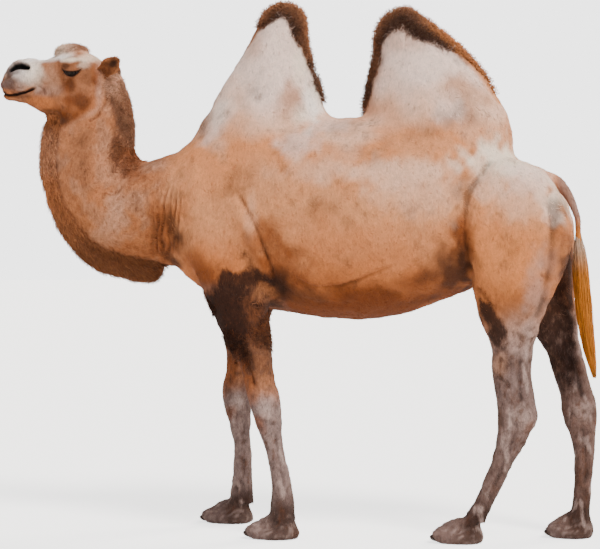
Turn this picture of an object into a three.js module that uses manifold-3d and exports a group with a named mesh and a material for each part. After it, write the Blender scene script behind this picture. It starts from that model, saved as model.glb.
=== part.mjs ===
// A two-humped (Bactrian) camel in its short summer coat, standing, life size.
// Units are millimetres. -X is towards the nose, +X towards the tail, -Y is the animal's left, +Z is up.
// The body is one smooth field of named masses (trunk, humps, neck, head, legs, wool), meshed and then
// parted by straight cuts into the pieces that a person would name.

import * as THREE from 'three';
import { mergeVertices } from 'three/addons/utils/BufferGeometryUtils.js';
import Module from 'manifold-3d';

// ---------------------------------------------------------------- driving sizes

const GAP = 0.3;            // between neighbouring pieces
const SHORT_COAT = 4;       // depth of the flat summer coat over the skin
const FLOOR = 0;

// Size of the facets, mm
const FACET = {
  trunk: [88, 92, 100],
  hump: [74, 58, 68],
  neck: 68,
  head: 27,
  arm: [60, 56, 62],
  shank: [35, 35, 78],
  foot: [38, 36, 27],
};

// Trunk: [x, belly z, back z, half width, height of the widest place as a share]
const BARREL = [
  [-500, 1160, 1485, 145, 0.45],
  [-440, 1070, 1575, 190, 0.45],
  [-340, 1000, 1640, 235, 0.42],
  [-180, 950, 1680, 280, 0.42],
  [0, 915, 1710, 325, 0.44],
  [200, 893, 1720, 355, 0.46],
  [380, 895, 1710, 362, 0.47],
  [540, 930, 1690, 345, 0.47],
  [700, 995, 1660, 310, 0.47],
  [840, 1060, 1600, 275, 0.5],
  [960, 1100, 1535, 235, 0.52],
  [1040, 1150, 1485, 175, 0.54],
  [1085, 1210, 1440, 110, 0.56],
  [1105, 1270, 1390, 50, 0.56],
];

// Humps: [z, front edge x, rear edge x, half width]
const FRONT_HUMP = [
  [1500, -430, 270, 230],
  [1600, -422, 215, 220],
  [1700, -388, 168, 198],
  [1760, -350, 146, 180],
  [1830, -304, 120, 158],
  [1900, -254, 96, 138],
  [1970, -202, 66, 118],
  [2030, -158, 44, 100],
  [2080, -126, 40, 84],
  [2120, -105, 36, 68],
  [2150, -80, 16, 48],
  [2170, -45, -10, 20],
];
const REAR_HUMP = [
  [1450, 250, 1000, 240],
  [1550, 285, 930, 232],
  [1630, 310, 926, 222],
  [1710, 322, 908, 207],
  [1790, 330, 866, 185],
  [1870, 346, 812, 160],
  [1930, 366, 766, 140],
  [1990, 378, 708, 120],
  [2040, 382, 650, 103],
  [2080, 392, 596, 86],
  [2110, 412, 550, 66],
  [2135, 450, 500, 25],
];

// Neck, from behind the jaw down and back to the shoulders:
// [x, z, depth on the throat side, depth on the nape side, half width]
const NECK = [
  [-900, 1860, 135, 178, 72],
  [-872, 1770, 150, 176, 80],
  [-858, 1670, 162, 172, 90],
  [-862, 1550, 175, 190, 101],
  [-825, 1440, 190, 210, 113],
  [-740, 1355, 205, 215, 130],
  [-620, 1335, 220, 212, 158],
  [-480, 1350, 245, 232, 192],
  [-340, 1370, 260, 250, 215],
];

// Head: [x, lower z, upper z, half width, height of the widest place as a share]
const FACE = [
  [-1258, 1868, 1885, 20, 0.4],
  [-1247, 1852, 1918, 40, 0.4],
  [-1230, 1846, 1950, 52, 0.4],
  [-1205, 1843, 1976, 59, 0.4],
  [-1165, 1845, 1988, 60, 0.42],
  [-1120, 1850, 1988, 55, 0.45],
  [-1070, 1850, 1981, 56, 0.5],
  [-1020, 1845, 1996, 66, 0.55],
  [-970, 1838, 2018, 82, 0.58],
  [-920, 1832, 2022, 93, 0.58],
  [-870, 1832, 2005, 92, 0.56],
  [-820, 1840, 1975, 80, 0.52],
  [-775, 1870, 1935, 48, 0.5],
];
const JAW = [
  [-1252, 1826, 1850, 18, 0.5],
  [-1238, 1814, 1858, 32, 0.5],
  [-1200, 1808, 1864, 38, 0.5],
  [-1150, 1795, 1875, 41, 0.5],
  [-1100, 1768, 1900, 45, 0.5],
  [-1040, 1742, 1910, 52, 0.5],
  [-970, 1728, 1920, 62, 0.5],
  [-900, 1730, 1920, 68, 0.5],
  [-850, 1760, 1900, 62, 0.5],
  [-810, 1810, 1880, 40, 0.5],
];
const BROW = { at: [-925, 84, 1962], size: [50, 24, 20], tilt: -0.15 };
const JAW_MUSCLE = { at: [-905, 52, 1815], size: [95, 34, 82], tilt: 0.25 };
const UPPER_LIP = { at: [-1205, 30, 1872], size: [50, 36, 32], tilt: 0.1 };
const TOPKNOT = { at: [-950, 0, 2012], size: [78, 72, 40], tilt: 0 };
const EYE = { at: [-925, 80, 1926], radius: 21 };
const EYE_RINGS = 5;
const EYE_OPENING = { at: [-925, 102, 1925], size: [27, 16, 12], tilt: 0.16 };
const EAR = { root: [-800, 66, 1925], width: 41, depth: 22, wall: 5 };
// The left ear is laid back and the right one held out; face is the way that the hollow looks
const EAR_POSE = {
  left: { tip: [-703, 128, 1966], face: [0.1, 0.95, -0.15] },
  right: { tip: [-772, 168, 1968], face: [-0.9, 0.25, 0.1] },
};

// Legs: [z, half depth fore and aft, half width]; the pose gives x and y of the middle at each height.
const FORE_LEG = [
  [85, 50, 48], [139, 48, 44], [200, 40, 37], [280, 36, 33], [360, 37, 34], [443, 48, 43], [524, 60, 53],
  [585, 64, 54], [647, 61, 50], [728, 68, 54], [810, 83, 64], [890, 98, 76], [980, 122, 88], [1080, 155, 98],
  [1200, 158, 100], [1330, 138, 90], [1460, 105, 70],
];
const HIND_LEG = [
  [85, 44, 44], [142, 41, 40], [223, 40, 35], [304, 42, 35], [385, 53, 38], [455, 68, 44], [510, 79, 49],
  [565, 77, 51], [640, 75, 54], [705, 77, 56], [763, 80, 60], [820, 95, 68], [900, 124, 86], [1020, 164, 108],
  [1140, 188, 122], [1260, 203, 124], [1360, 191, 114], [1430, 150, 94], [1500, 95, 60],
];
const FORE_Y = [200, 200, 199, 199, 199, 200, 200, 200, 200, 202, 205, 207, 205, 195, 180, 150, 110];
const POSE = {
  foreleg_left: {
    side: -1, slim: 1, table: FORE_LEG, y: FORE_Y,
    x: [9, 8, 6, -6, -23, -44, -58, -71, -88, -107, -134, -156, -176, -198, -222, -245, -250],
    foot: { x: -32, y: 200, length: 112, width: 84 },
  },
  foreleg_right: {
    side: 1, slim: 1, table: FORE_LEG, y: FORE_Y,
    x: [
      -256, -256, -253, -252, -257, -266, -274, -272, -260,
      -250, -242, -240, -232, -222, -232, -245, -250,
    ],
    foot: { x: -318, y: 200, length: 112, width: 84 },
  },
  hindleg_left: {
    side: -1, slim: 1, table: HIND_LEG,
    y: [168, 168, 170, 173, 176, 179, 181, 183, 185, 187, 188, 190, 190, 188, 184, 176, 162, 142, 115],
    x: [
      790, 817, 859, 893, 928, 952, 965, 959, 948, 940,
      947, 946, 941, 953, 969, 975, 968, 965, 960,
    ],
    foot: { x: 722, y: 165, length: 104, width: 77 },
  },
  hindleg_right: {
    side: 1, slim: 0.9, table: HIND_LEG,
    y: [75, 77, 82, 88, 94, 100, 105, 110, 115, 122, 130, 140, 150, 160, 166, 166, 156, 140, 115],
    x: [
      1192, 1202, 1207, 1211, 1208, 1198, 1190, 1182, 1160, 1142,
      1122, 1094, 1062, 1018, 988, 978, 968, 965, 960,
    ],
    foot: { x: 1150, y: 72, length: 94, width: 77 },
  },
};
const HIP = { at: [930, 150, 1385], size: [150, 125, 155], tilt: 0 };

// Tail and its tassel: [x, z, half depth, half width]
const TAIL = [
  [1000, 1485, 30, 30], [1050, 1472, 27, 28], [1095, 1452, 24, 25], [1130, 1424, 22, 23], [1158, 1385, 20, 21],
  [1176, 1340, 19, 20], [1187, 1290, 18, 19], [1194, 1200, 19, 19],
];
const TAIL_TASSEL = [
  [1190, 1240, 20, 20], [1196, 1150, 30, 28], [1203, 1060, 34, 32], [1212, 960, 35, 34], [1222, 870, 31, 31],
  [1236, 780, 26, 25], [1250, 710, 16, 15], [1259, 655, 7, 7],
];

// Wool that stands beyond the short coat: [x, z, outer depth, inner depth, half width]
const MANE = [
  [-1020, 1745, 45, 60, 50], [-1030, 1660, 52, 60, 50], [-1045, 1540, 53, 60, 52], [-1015, 1420, 63, 60, 55],
  [-945, 1300, 80, 60, 60], [-850, 1205, 95, 60, 62], [-730, 1145, 97, 60, 64], [-615, 1120, 90, 60, 62],
  [-560, 1118, 50, 50, 50],
];
const NAPE = [
  [-785, 1895, 40, 45, 50], [-740, 1800, 45, 57, 55], [-728, 1700, 45, 57, 55], [-730, 1620, 40, 50, 50],
];
const FRONT_CREST = [
  [-222, 1930, 18, 30, 30], [-172, 2000, 26, 34, 40], [-118, 2090, 32, 40, 42], [-75, 2155, 36, 40, 42],
  [-20, 2168, 38, 40, 42], [25, 2130, 40, 40, 42], [36, 2060, 34, 40, 42], [64, 1965, 30, 36, 42],
  [96, 1880, 26, 34, 42], [130, 1790, 20, 30, 35],
];
const REAR_CREST = [
  [330, 1740, 28, 30, 35], [340, 1830, 32, 34, 40], [372, 1940, 36, 40, 42], [385, 2040, 40, 40, 42],
  [415, 2105, 38, 40, 42], [475, 2135, 38, 40, 42], [556, 2087, 40, 40, 42], [642, 2022, 36, 40, 42],
  [728, 1955, 32, 36, 42], [805, 1862, 26, 32, 40], [858, 1770, 22, 30, 35],
];
const ARM_WOOL = [         // [z, half depth, half width], about the forearm's own middle
  [660, 58, 50], [728, 80, 64], [810, 102, 78], [890, 115, 90], [980, 138, 100], [1060, 150, 105], [1120, 120, 95],
];

// Where the pieces part
const NECK_BASE_X = -535;
const JAW_CUT = [[-1070, 1712], [-770, 1905]];       // line, seen from the side, between neck and head
const HUMP_Z = 1762;
const FORE_CUT = [[-400, 1000], [50, 895]];          // lines under the chest and belly, where legs begin
const HIND_CUT = [[600, 900], [1120, 1160]];
const MID_X = 450;
const KNEE_Z = 585;
const HOCK_Z = 515;
const ANKLE_Z = 92;
const TASSEL_Z = 1215;

// ---------------------------------------------------------------- fields

// Cubic through the values at the knots, with Catmull-Rom slopes, level beyond both ends
const curve = (knots, values) => {
  const last = knots.length - 1;
  const slopes = values.map((value, i) => {
    const before = Math.max(i - 1, 0);
    const after = Math.min(i + 1, last);
    return (values[after] - values[before]) / (knots[after] - knots[before]);
  });
  return (t) => {
    const at = Math.min(Math.max(t, knots[0]), knots[last]);
    let i = 0;
    while (i < last - 1 && at > knots[i + 1]) i += 1;
    const h = knots[i + 1] - knots[i];
    const s = (at - knots[i]) / h;
    const r = 1 - s;
    return (1 + 2 * s) * r * r * values[i] + s * r * r * h * slopes[i]
      + s * s * (3 - 2 * s) * values[i + 1] + s * s * (s - 1) * h * slopes[i + 1];
  };
};

const column = (rows, index) => rows.map((row) => row[index]);

// Distance to a rounded-square oval of half sizes a and b, to first order
const ovalDistance = (u, v, a, b, power) => {
  const p = Math.max(Math.abs(u) / a, 1e-4);
  const q = Math.max(Math.abs(v) / b, 1e-4);
  const k = Math.max((p ** power + q ** power) ** (1 / power), 0.05);
  const slope = k ** (1 - power) * Math.hypot(p ** (power - 1) / a, q ** (power - 1) / b);
  return (k - 1) / Math.max(slope, 1e-5);
};

const softUnion = (a, b, width) => {
  const h = Math.max(width - Math.abs(a - b), 0) / width;
  return Math.min(a, b) - (h * h * width) / 4;
};

const capped = (across, along) => (along > 0 ? Math.hypot(Math.max(across, 0), along) : across);

// Ovals stacked along X or Z. Rows: [place, low edge, high edge, half width, share];
// y of the middle is mid(place).
const loft = (axis, rows, power, mid = () => 0) => {
  const places = column(rows, 0);
  const [low, high, half] = [1, 2, 3].map((index) => curve(places, column(rows, index)));
  const share = curve(places, rows.map((row) => row[4] ?? 0.5));
  const [first, last] = [places[0], places[places.length - 1]];
  return (x, y, z) => {
    const t = axis === 'x' ? x : z;
    const s = axis === 'x' ? z : x;
    const middle = low(t) + share(t) * (high(t) - low(t));
    const v = s - middle;
    const depth = Math.max(v > 0 ? high(t) - middle : middle - low(t), 4);
    const across = ovalDistance(y - mid(t), v, Math.max(half(t), 4), depth, power);
    return capped(across, Math.max(first - t, t - last));
  };
};

// Ovals carried along a path in the middle plane. Rows: [x, z, outer depth, inner depth, half width];
// the outer side is on the left of the direction of travel, seen from the animal's left.
const SWEEP_STEPS = 48;
const sweep = (rows, power, outward) => {
  const places = rows.map((row, index) => index);
  const [pathX, pathZ, outer, inner, wide] = [0, 1, 2, 3, 4].map(
    (index) => curve(places, column(rows, index)));
  const samples = Array.from({ length: SWEEP_STEPS + 1 }, (_, i) => {
    const t = (i / SWEEP_STEPS) * (rows.length - 1);
    return { t, x: pathX(t), z: pathZ(t) };
  });
  return (x, y, z) => {
    let best = 0;
    let nearest = Infinity;
    samples.forEach((sample, i) => {
      const d = (x - sample.x) ** 2 + (z - sample.z) ** 2;
      if (d < nearest) { nearest = d; best = i; }
    });
    const a = samples[Math.max(best - 1, 0)];
    const b = samples[Math.min(best + 1, SWEEP_STEPS)];
    const length = Math.hypot(b.x - a.x, b.z - a.z);
    const [dx, dz] = [(b.x - a.x) / length, (b.z - a.z) / length];
    const along = (x - samples[best].x) * dx + (z - samples[best].z) * dz;
    const step = (b.t - a.t) / length;
    const t = Math.min(Math.max(samples[best].t + along * step, 0), rows.length - 1);
    const beyond = Math.abs(along - (t - samples[best].t) / step);
    const v = outward * ((x - pathX(t)) * dz - (z - pathZ(t)) * dx);
    const across = ovalDistance(y, v, wide(t), v > 0 ? outer(t) : inner(t), power);
    return capped(across, beyond > 0.01 ? beyond : 0);
  };
};

// Ellipsoid, its long axis tipped by tilt about Y
const egg = ({ at, size, tilt }, side = 0) => {
  const [cos, sin] = [Math.cos(tilt), Math.sin(tilt)];
  const [a, b, c] = size;
  return (x, y, z) => {
    const dy = (side === 0 ? y - at[1] : Math.abs(y) - at[1]);
    const [rx, rz] = [x - at[0], z - at[2]];
    const [dx, dz] = [rx * cos - rz * sin, rx * sin + rz * cos];
    const k = Math.hypot(dx / a, dy / b, dz / c);
    const slope = Math.hypot(dx / (a * a), dy / (b * b), dz / (c * c));
    return (k * (k - 1)) / Math.max(slope, 1e-5);
  };
};

// Masses joined one after another, each with its own width of blending: [field, width]
const blend = (first, ...others) => (x, y, z) => others.reduce(
  (distance, [field, width]) => softUnion(distance, field(x, y, z), width), first(x, y, z));

// ---------------------------------------------------------------- the masses of the body

const trunkField = blend(
  loft('x', BARREL, 2.25),
  [loft('z', FRONT_HUMP, 1.8), 50],
  [loft('z', REAR_HUMP, 1.8), 50],
  [egg(HIP, 1), 40],
);

const neckField = sweep(NECK, 2.1, 1);

const headField = blend(
  loft('x', FACE, 2.2),
  [loft('x', JAW, 2.2), 14],
  [egg(BROW, 1), 20],
  [egg(JAW_MUSCLE, 1), 20],
  [egg(UPPER_LIP, 1), 20],
);

const legField = ({ side, slim, table, y, x }) => {
  const rows = table.map(([z, depth, half], i) => [z, x[i] - depth * slim, x[i] + depth * slim, half]);
  const middle = curve(column(table, 0), y);
  return loft('z', rows, 2.25, (z) => side * middle(z));
};

// A broad two-toed pad, open below: the sole is cut flat afterwards
const footField = ({ side, foot }) => {
  const toe = (across) => egg({
    at: [foot.x - foot.length * 0.46, side * foot.y + across * foot.width * 0.45, 30],
    size: [foot.length * 0.49, foot.width * 0.46, 32],
    tilt: 0.1,
  });
  const instep = {
    at: [foot.x - foot.length * 0.12, side * foot.y, 60],
    size: [foot.length * 0.62, foot.width * 0.55, 32],
    tilt: -0.36,
  };
  const pad = { at: [foot.x + 10, side * foot.y, 18], size: [foot.length - 14, foot.width, 34], tilt: 0 };
  const heel = { at: [foot.x + 52, side * foot.y, 40], size: [46, foot.width * 0.72, 50], tilt: 0 };
  return blend(egg(pad), [egg(heel), 30], [blend(toe(-1), [toe(1), 6]), 15], [egg(instep), 20]);
};

const armWoolField = ({ side, table, y, x }) => {
  const middleX = curve(column(table, 0), x);
  const middleY = curve(column(table, 0), y);
  const rows = ARM_WOOL.map(([z, depth, half]) => [z, middleX(z) - depth, middleX(z) + depth, half]);
  return loft('z', rows, 2.2, (z) => side * middleY(z));
};

const legs = Object.fromEntries(Object.entries(POSE).map(([name, pose]) => [name, {
  ...pose,
  field: blend(legField(pose), [footField(pose), 30]),
}]));

const fleshField = blend(
  trunkField,
  [neckField, 70],
  [headField, 35],
  [legs.foreleg_left.field, 45],
  [legs.foreleg_right.field, 45],
  [legs.hindleg_left.field, 30],
  [legs.hindleg_right.field, 30],
);

const woolFields = [
  sweep(MANE, 2.2, 1),
  sweep(NAPE, 2, 1),
  sweep(FRONT_CREST, 2.2, -1),
  sweep(REAR_CREST, 2.2, -1),
  egg(TOPKNOT),
  armWoolField(POSE.foreleg_left),
  armWoolField(POSE.foreleg_right),
];

const bodyField = (x, y, z) => {
  const wool = Math.min(...woolFields.map((field) => field(x, y, z)));
  return softUnion(fleshField(x, y, z) - SHORT_COAT, wool, 20);
};

// ---------------------------------------------------------------- from field to solid

const wasm = await Module();
wasm.setup();

const toManifold = (positions, indices) => new wasm.Manifold(new wasm.Mesh({
  numProp: 3,
  vertProperties: new Float32Array(positions),
  triVerts: new Uint32Array(indices),
}));

const geometryToManifold = (geometry) => {
  geometry.deleteAttribute('normal');
  geometry.deleteAttribute('uv');
  const merged = mergeVertices(geometry, 1e-3);
  return toManifold(merged.attributes.position.array, merged.index.array);
};

const steps = (from, to, size) => {
  const count = Math.max(2, Math.round((to - from) / size));
  return Array.from({ length: count + 1 }, (_, i) => from + ((to - from) * i) / count);
};

const gradient = (field, [x, y, z]) => {
  const d = 0.5;
  return [
    field(x + d, y, z) - field(x - d, y, z),
    field(x, y + d, z) - field(x, y - d, z),
    field(x, y, z + d) - field(x, y, z - d),
  ].map((difference) => difference / (2 * d));
};

const toSurface = (field, point) => {
  const slope = gradient(field, point);
  const length = Math.max(Math.hypot(...slope), 0.3);
  const distance = field(...point) / (length * length);
  return point.map((value, i) => value - slope[i] * distance);
};

// A net of quads round the part of the field below zero: one vertex in each cell that the surface crosses,
// at the mean of the crossings of the cell's edges, and one quad across each crossed edge.
const netSolid = (field, low, high, size) => {
  const sizes = [size].flat();
  const axes = [0, 1, 2].map((k) => steps(low[k], high[k], sizes[k] ?? sizes[0]));
  const [nx, ny, nz] = axes.map((axis) => axis.length);
  const at = (i, j, k) => (i * ny + j) * nz + k;
  const outside = (i, j, k) => Math.min(i, j, k) === 0 || i === nx - 1 || j === ny - 1 || k === nz - 1;
  const values = new Float64Array(nx * ny * nz);
  for (let i = 0; i < nx; i += 1) for (let j = 0; j < ny; j += 1) for (let k = 0; k < nz; k += 1) {
    const value = field(axes[0][i], axes[1][j], axes[2][k]);
    values[at(i, j, k)] = outside(i, j, k) ? Math.max(value, 1) : value;
  }
  const corners = [0, 1, 2, 3, 4, 5, 6, 7].map((c) => [c >> 2, (c >> 1) & 1, c & 1]);
  const edges = corners.flatMap((a) => corners.filter((b) => b.every((v, n) => v >= a[n])
    && b.reduce((sum, v, n) => sum + v - a[n], 0) === 1).map((b) => [a, b]));
  const points = [];
  const numbers = new Map();
  for (let i = 0; i < nx - 1; i += 1) for (let j = 0; j < ny - 1; j += 1) for (let k = 0; k < nz - 1; k += 1) {
    const crossings = edges.flatMap(([a, b]) => {
      const va = values[at(i + a[0], j + a[1], k + a[2])];
      const vb = values[at(i + b[0], j + b[1], k + b[2])];
      if ((va < 0) === (vb < 0)) return [];
      const share = va / (va - vb);
      return [[i, j, k].map((n, m) => {
        const pa = axes[m][n + a[m]];
        return pa + share * (axes[m][n + b[m]] - pa);
      })];
    });
    if (crossings.length > 0) {
      numbers.set(at(i, j, k), points.length);
      points.push([0, 1, 2].map((m) => crossings.reduce((sum, p) => sum + p[m], 0) / crossings.length));
    }
  }
  const indices = [];
  const around = [[[0, 0, 0], [0, -1, 0], [0, -1, -1], [0, 0, -1]],
    [[0, 0, 0], [0, 0, -1], [-1, 0, -1], [-1, 0, 0]],
    [[0, 0, 0], [-1, 0, 0], [-1, -1, 0], [0, -1, 0]]];
  for (let i = 0; i < nx - 1; i += 1) for (let j = 0; j < ny - 1; j += 1) for (let k = 0; k < nz - 1; k += 1) {
    [[1, 0, 0], [0, 1, 0], [0, 0, 1]].forEach((way, m) => {
      const inside = values[at(i, j, k)] < 0;
      if (inside === (values[at(i + way[0], j + way[1], k + way[2])] < 0)) return;
      const quad = around[m].map((cell) => numbers.get(at(i + cell[0], j + cell[1], k + cell[2])));
      const [a, b, c, d] = inside ? quad : quad.reverse();
      indices.push(a, b, c, a, c, d);
    });
  }
  const onSurface = points.map((point) => toSurface(field, toSurface(field, point)));
  return toManifold(onSurface.flat(), indices);
};

const boxSolid = (low, high) => {
  const geometry = new THREE.BoxGeometry(high[0] - low[0], high[1] - low[1], high[2] - low[2]);
  geometry.translate((low[0] + high[0]) / 2, (low[1] + high[1]) / 2, (low[2] + high[2]) / 2);
  return geometryToManifold(geometry);
};

const ballSolid = (centre, size, rings, tilt = 0) => {
  const geometry = new THREE.SphereGeometry(1, rings * 2, rings);
  geometry.rotateX(Math.PI / 2);
  geometry.scale(...size);
  geometry.rotateY(tilt);
  geometry.translate(...centre);
  return geometryToManifold(geometry);
};

// A thick slab on one hand of a line seen from the side, its face a little away from the line
const FAR = 4000;
const slabSolid = ([[x0, z0], [x1, z1]], hand, away = GAP / 2) => {
  const geometry = new THREE.BoxGeometry(FAR, FAR, FAR);
  geometry.translate(0, 0, hand * (FAR / 2 + away));
  geometry.rotateY(-Math.atan2(z1 - z0, x1 - x0));
  geometry.translate(x0, 0, z0);
  return geometryToManifold(geometry);
};
const above = (line) => slabSolid(line, 1);
const below = (line) => slabSolid(line, -1);
const level = (z) => [[0, z], [1, z]];
const upright = (x) => [[x, 0], [x, 1]];      // above(upright) lies towards the nose

const keepIn = (solid, ...regions) => regions.reduce((rest, region) => rest.intersect(region), solid);

// ---------------------------------------------------------------- the pieces

const mirrored = ([x, y, z], side) => [x, side * y, z];

const makeTrunk = () => {
  const solid = netSolid(bodyField, [-640, -400, 860], [1180, 400, 1830], FACET.trunk);
  const underChest = slabSolid(FORE_CUT, -1, -GAP / 2).intersect(above(upright(MID_X)));
  const underBelly = slabSolid(HIND_CUT, -1, -GAP / 2).intersect(below(upright(MID_X)));
  return keepIn(solid, below(upright(NECK_BASE_X)), below(level(HUMP_Z)))
    .subtract(underChest)
    .subtract(underBelly);
};

const makeHumpFront = () => keepIn(
  netSolid(bodyField, [-430, -210, 1700], [245, 210, 2240], FACET.hump), above(level(HUMP_Z)));

const makeHumpRear = () => keepIn(
  netSolid(bodyField, [250, -220, 1700], [950, 220, 2210], FACET.hump), above(level(HUMP_Z)));

const makeNeck = () => keepIn(
  netSolid(bodyField, [-1160, -260, 960], [-440, 260, 1980], FACET.neck),
  above(upright(NECK_BASE_X)), below(JAW_CUT));

const eyeBall = (side, extra) => {
  const radius = EYE.radius + extra;
  return ballSolid(mirrored(EYE.at, side), [radius, radius, radius], EYE_RINGS);
};

const makeHead = () => {
  const solid = netSolid(bodyField, [-1300, -135, 1660], [-700, 135, 2080], FACET.head);
  const sockets = [-1, 1].flatMap((side) => [
    eyeBall(side, GAP),
    ballSolid(mirrored(EYE_OPENING.at, side), EYE_OPENING.size, EYE_RINGS, EYE_OPENING.tilt),
  ]);
  return sockets.reduce((rest, socket) => rest.subtract(socket), keepIn(solid, above(JAW_CUT)));
};

// A cupped leaf: crescent sections carried from the root to the tip
const EAR_LENGTHWISE = 6;
const EAR_ROUND = 6;
const makeEar = (side, pose, head) => {
  const root = new THREE.Vector3(...mirrored(EAR.root, side));
  const axis = new THREE.Vector3(...mirrored(pose.tip, side)).sub(root);
  const face = new THREE.Vector3(...mirrored(pose.face, side));
  const across = new THREE.Vector3().crossVectors(axis, face).normalize();
  const out = new THREE.Vector3().crossVectors(across, axis).normalize();
  const positions = [];
  for (let i = 0; i <= EAR_LENGTHWISE; i += 1) {
    const t = i / EAR_LENGTHWISE;
    const half = EAR.width * Math.max(0.55 + 1.1 * t - 1.65 * t ** 3, 0.16) * 0.9;
    const cup = EAR.depth * (1 - 0.75 * t);
    for (let j = 0; j < 2 * EAR_ROUND; j += 1) {
      const outerSide = j < EAR_ROUND;
      const s = outerSide ? j / (EAR_ROUND - 1) : (2 * EAR_ROUND - 1 - j) / (EAR_ROUND - 1);
      const angle = (s - 0.5) * Math.PI * 0.96;
      const thin = outerSide ? 0 : EAR.wall;
      positions.push(root.clone()
        .addScaledVector(axis, t)
        .addScaledVector(across, (half - thin) * Math.sin(angle))
        .addScaledVector(out, -(cup - thin) * Math.cos(angle) + thin * 0.3));
    }
  }
  const round = 2 * EAR_ROUND;
  const indices = [];
  for (let i = 0; i < EAR_LENGTHWISE; i += 1) for (let j = 0; j < round; j += 1) {
    const [a, b] = [i * round + j, i * round + ((j + 1) % round)];
    indices.push(a, b + round, b, a, a + round, b + round);
  }
  for (let j = 0; j < EAR_ROUND - 1; j += 1) {
    const [a, b, c, d] = [j, j + 1, round - 2 - j, round - 1 - j];
    indices.push(a, b, c, a, c, d);
    const top = EAR_LENGTHWISE * round;
    indices.push(top + a, top + c, top + b, top + a, top + d, top + c);
  }
  const flat = positions.flatMap((p) => [p.x, p.y, p.z]);
  return toManifold(flat, indices).subtract(head).translate([GAP, side * GAP, 0]);
};

const largest = (solid) => solid.decompose().sort((a, b) => b.volume() - a.volume())[0];

const makeLeg = (name, { side, foot }) => {
  const fore = name.startsWith('fore');
  const [left, right] = side < 0 ? [-330, 0] : [0, 330];
  const joint = fore ? KNEE_Z : HOCK_Z;
  const cut = fore ? FORE_CUT : HIND_CUT;
  const [front, rear] = fore ? [-480, 60] : [600, 1290];
  const y = side * foot.y;
  const upper = netSolid(bodyField, [front, left, joint - 60], [rear, right, fore ? 1060 : 1220], FACET.arm);
  const lower = netSolid(bodyField, [front, left, ANKLE_Z - 60], [rear, right, joint + 60], FACET.shank);
  const sole = netSolid(bodyField, [foot.x - 160, y - 110, -40], [foot.x + 160, y + 110, 150], FACET.foot);
  const standing = boxSolid([-FAR, -FAR, FLOOR], [FAR, FAR, FAR]);
  return {
    [`${name}_upper`]: largest(keepIn(upper, below(cut), above(level(joint)))),
    [`${name}_lower`]: largest(keepIn(lower, below(level(joint)), above(level(ANKLE_Z)))),
    [`${name}_foot`]: largest(keepIn(sole, below(level(ANKLE_Z)), standing)),
  };
};

const NAIL = { size: [20, 18, 13], z: 20, set: 11, tilt: 0.35, rings: 4 };
const makeNails = (name, { side, foot }, footSolid) => Object.fromEntries([-1, 1].map((across) => {
  const x = foot.x - foot.length * 0.95 + NAIL.set;
  const tip = [x, side * foot.y + across * foot.width * 0.45, NAIL.z];
  const solid = ballSolid(tip, NAIL.size, NAIL.rings, NAIL.tilt).subtract(footSolid);
  const place = across * side < 0 ? 'inner' : 'outer';
  return [`${name}_nail_${place}`, largest(solid).translate([-GAP, 0, 0])];
}));

// Rings round a path in the middle plane, closed at both ends. Rows: [x, z, half depth, half width]
const RING = 8;
const ringSolid = (rows) => {
  const rings = rows.map(([x, z, depth, half], i) => {
    const before = rows[Math.max(i - 1, 0)];
    const after = rows[Math.min(i + 1, rows.length - 1)];
    const length = Math.hypot(after[0] - before[0], after[1] - before[1]);
    const across = [(after[1] - before[1]) / length, -(after[0] - before[0]) / length];
    return Array.from({ length: RING }, (_, j) => {
      const angle = (j / RING) * 2 * Math.PI;
      const reach = depth * Math.cos(angle);
      return [x + across[0] * reach, half * Math.sin(angle), z + across[1] * reach];
    });
  });
  const top = rings.length * RING;
  const ends = [rows[0], rows[rows.length - 1]].flatMap(([x, z]) => [x, 0, z]);
  const positions = [...rings.flat(2), ...ends];
  const indices = [];
  for (let j = 0; j < RING; j += 1) {
    const next = (j + 1) % RING;
    const last = top - RING;
    indices.push(top, next, j, top + 1, last + j, last + next);
    for (let i = 0; i < top - RING; i += RING) {
      indices.push(i + j, i + RING + next, i + RING + j, i + j, i + next, i + RING + next);
    }
  }
  return toManifold(positions, indices);
};

const makeTail = (trunk, others) => {
  const [dock, tassel] = [ringSolid(TAIL), ringSolid(TAIL_TASSEL)];
  const free = others.reduce((rest, other) => rest.subtract(other), dock.subtract(trunk));
  return {
    tail: largest(keepIn(free, above(level(TASSEL_Z)))).translate([2 * GAP, 0, 0]),
    tail_tassel: largest(keepIn(tassel, below(level(TASSEL_Z)))),
  };
};

// ---------------------------------------------------------------- the animal

const COLOURS = {
  coat: 0xc39a72, pale: 0xd6c0ae, face: 0xc9a184, dark: 0x4a3226, shank: 0x8d7768, tassel: 0xb8792f,
  eye: 0x1c120d, nail: 0x2a211d,
};

// The slivers that cuts leave are closed up: corners nearer than the weld become one
const WELD = 0.01;
const toMesh = (name, solid, colour, roughness) => {
  const { vertProperties, triVerts } = solid.getMesh();
  const cutGeometry = new THREE.BufferGeometry();
  cutGeometry.setAttribute('position', new THREE.BufferAttribute(vertProperties, 3));
  cutGeometry.setIndex(new THREE.BufferAttribute(triVerts, 1));
  const geometry = mergeVertices(cutGeometry, WELD);
  const index = Array.from(geometry.index.array);
  const whole = index.filter((_, n) => {
    const [a, b, c] = index.slice(n - (n % 3), n - (n % 3) + 3);
    return a !== b && b !== c && c !== a;
  });
  geometry.setIndex(whole);
  geometry.computeVertexNormals();
  const material = new THREE.MeshStandardMaterial({ color: colour, roughness, metalness: 0 });
  const mesh = new THREE.Mesh(geometry, material);
  mesh.name = name;
  return mesh;
};

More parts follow.
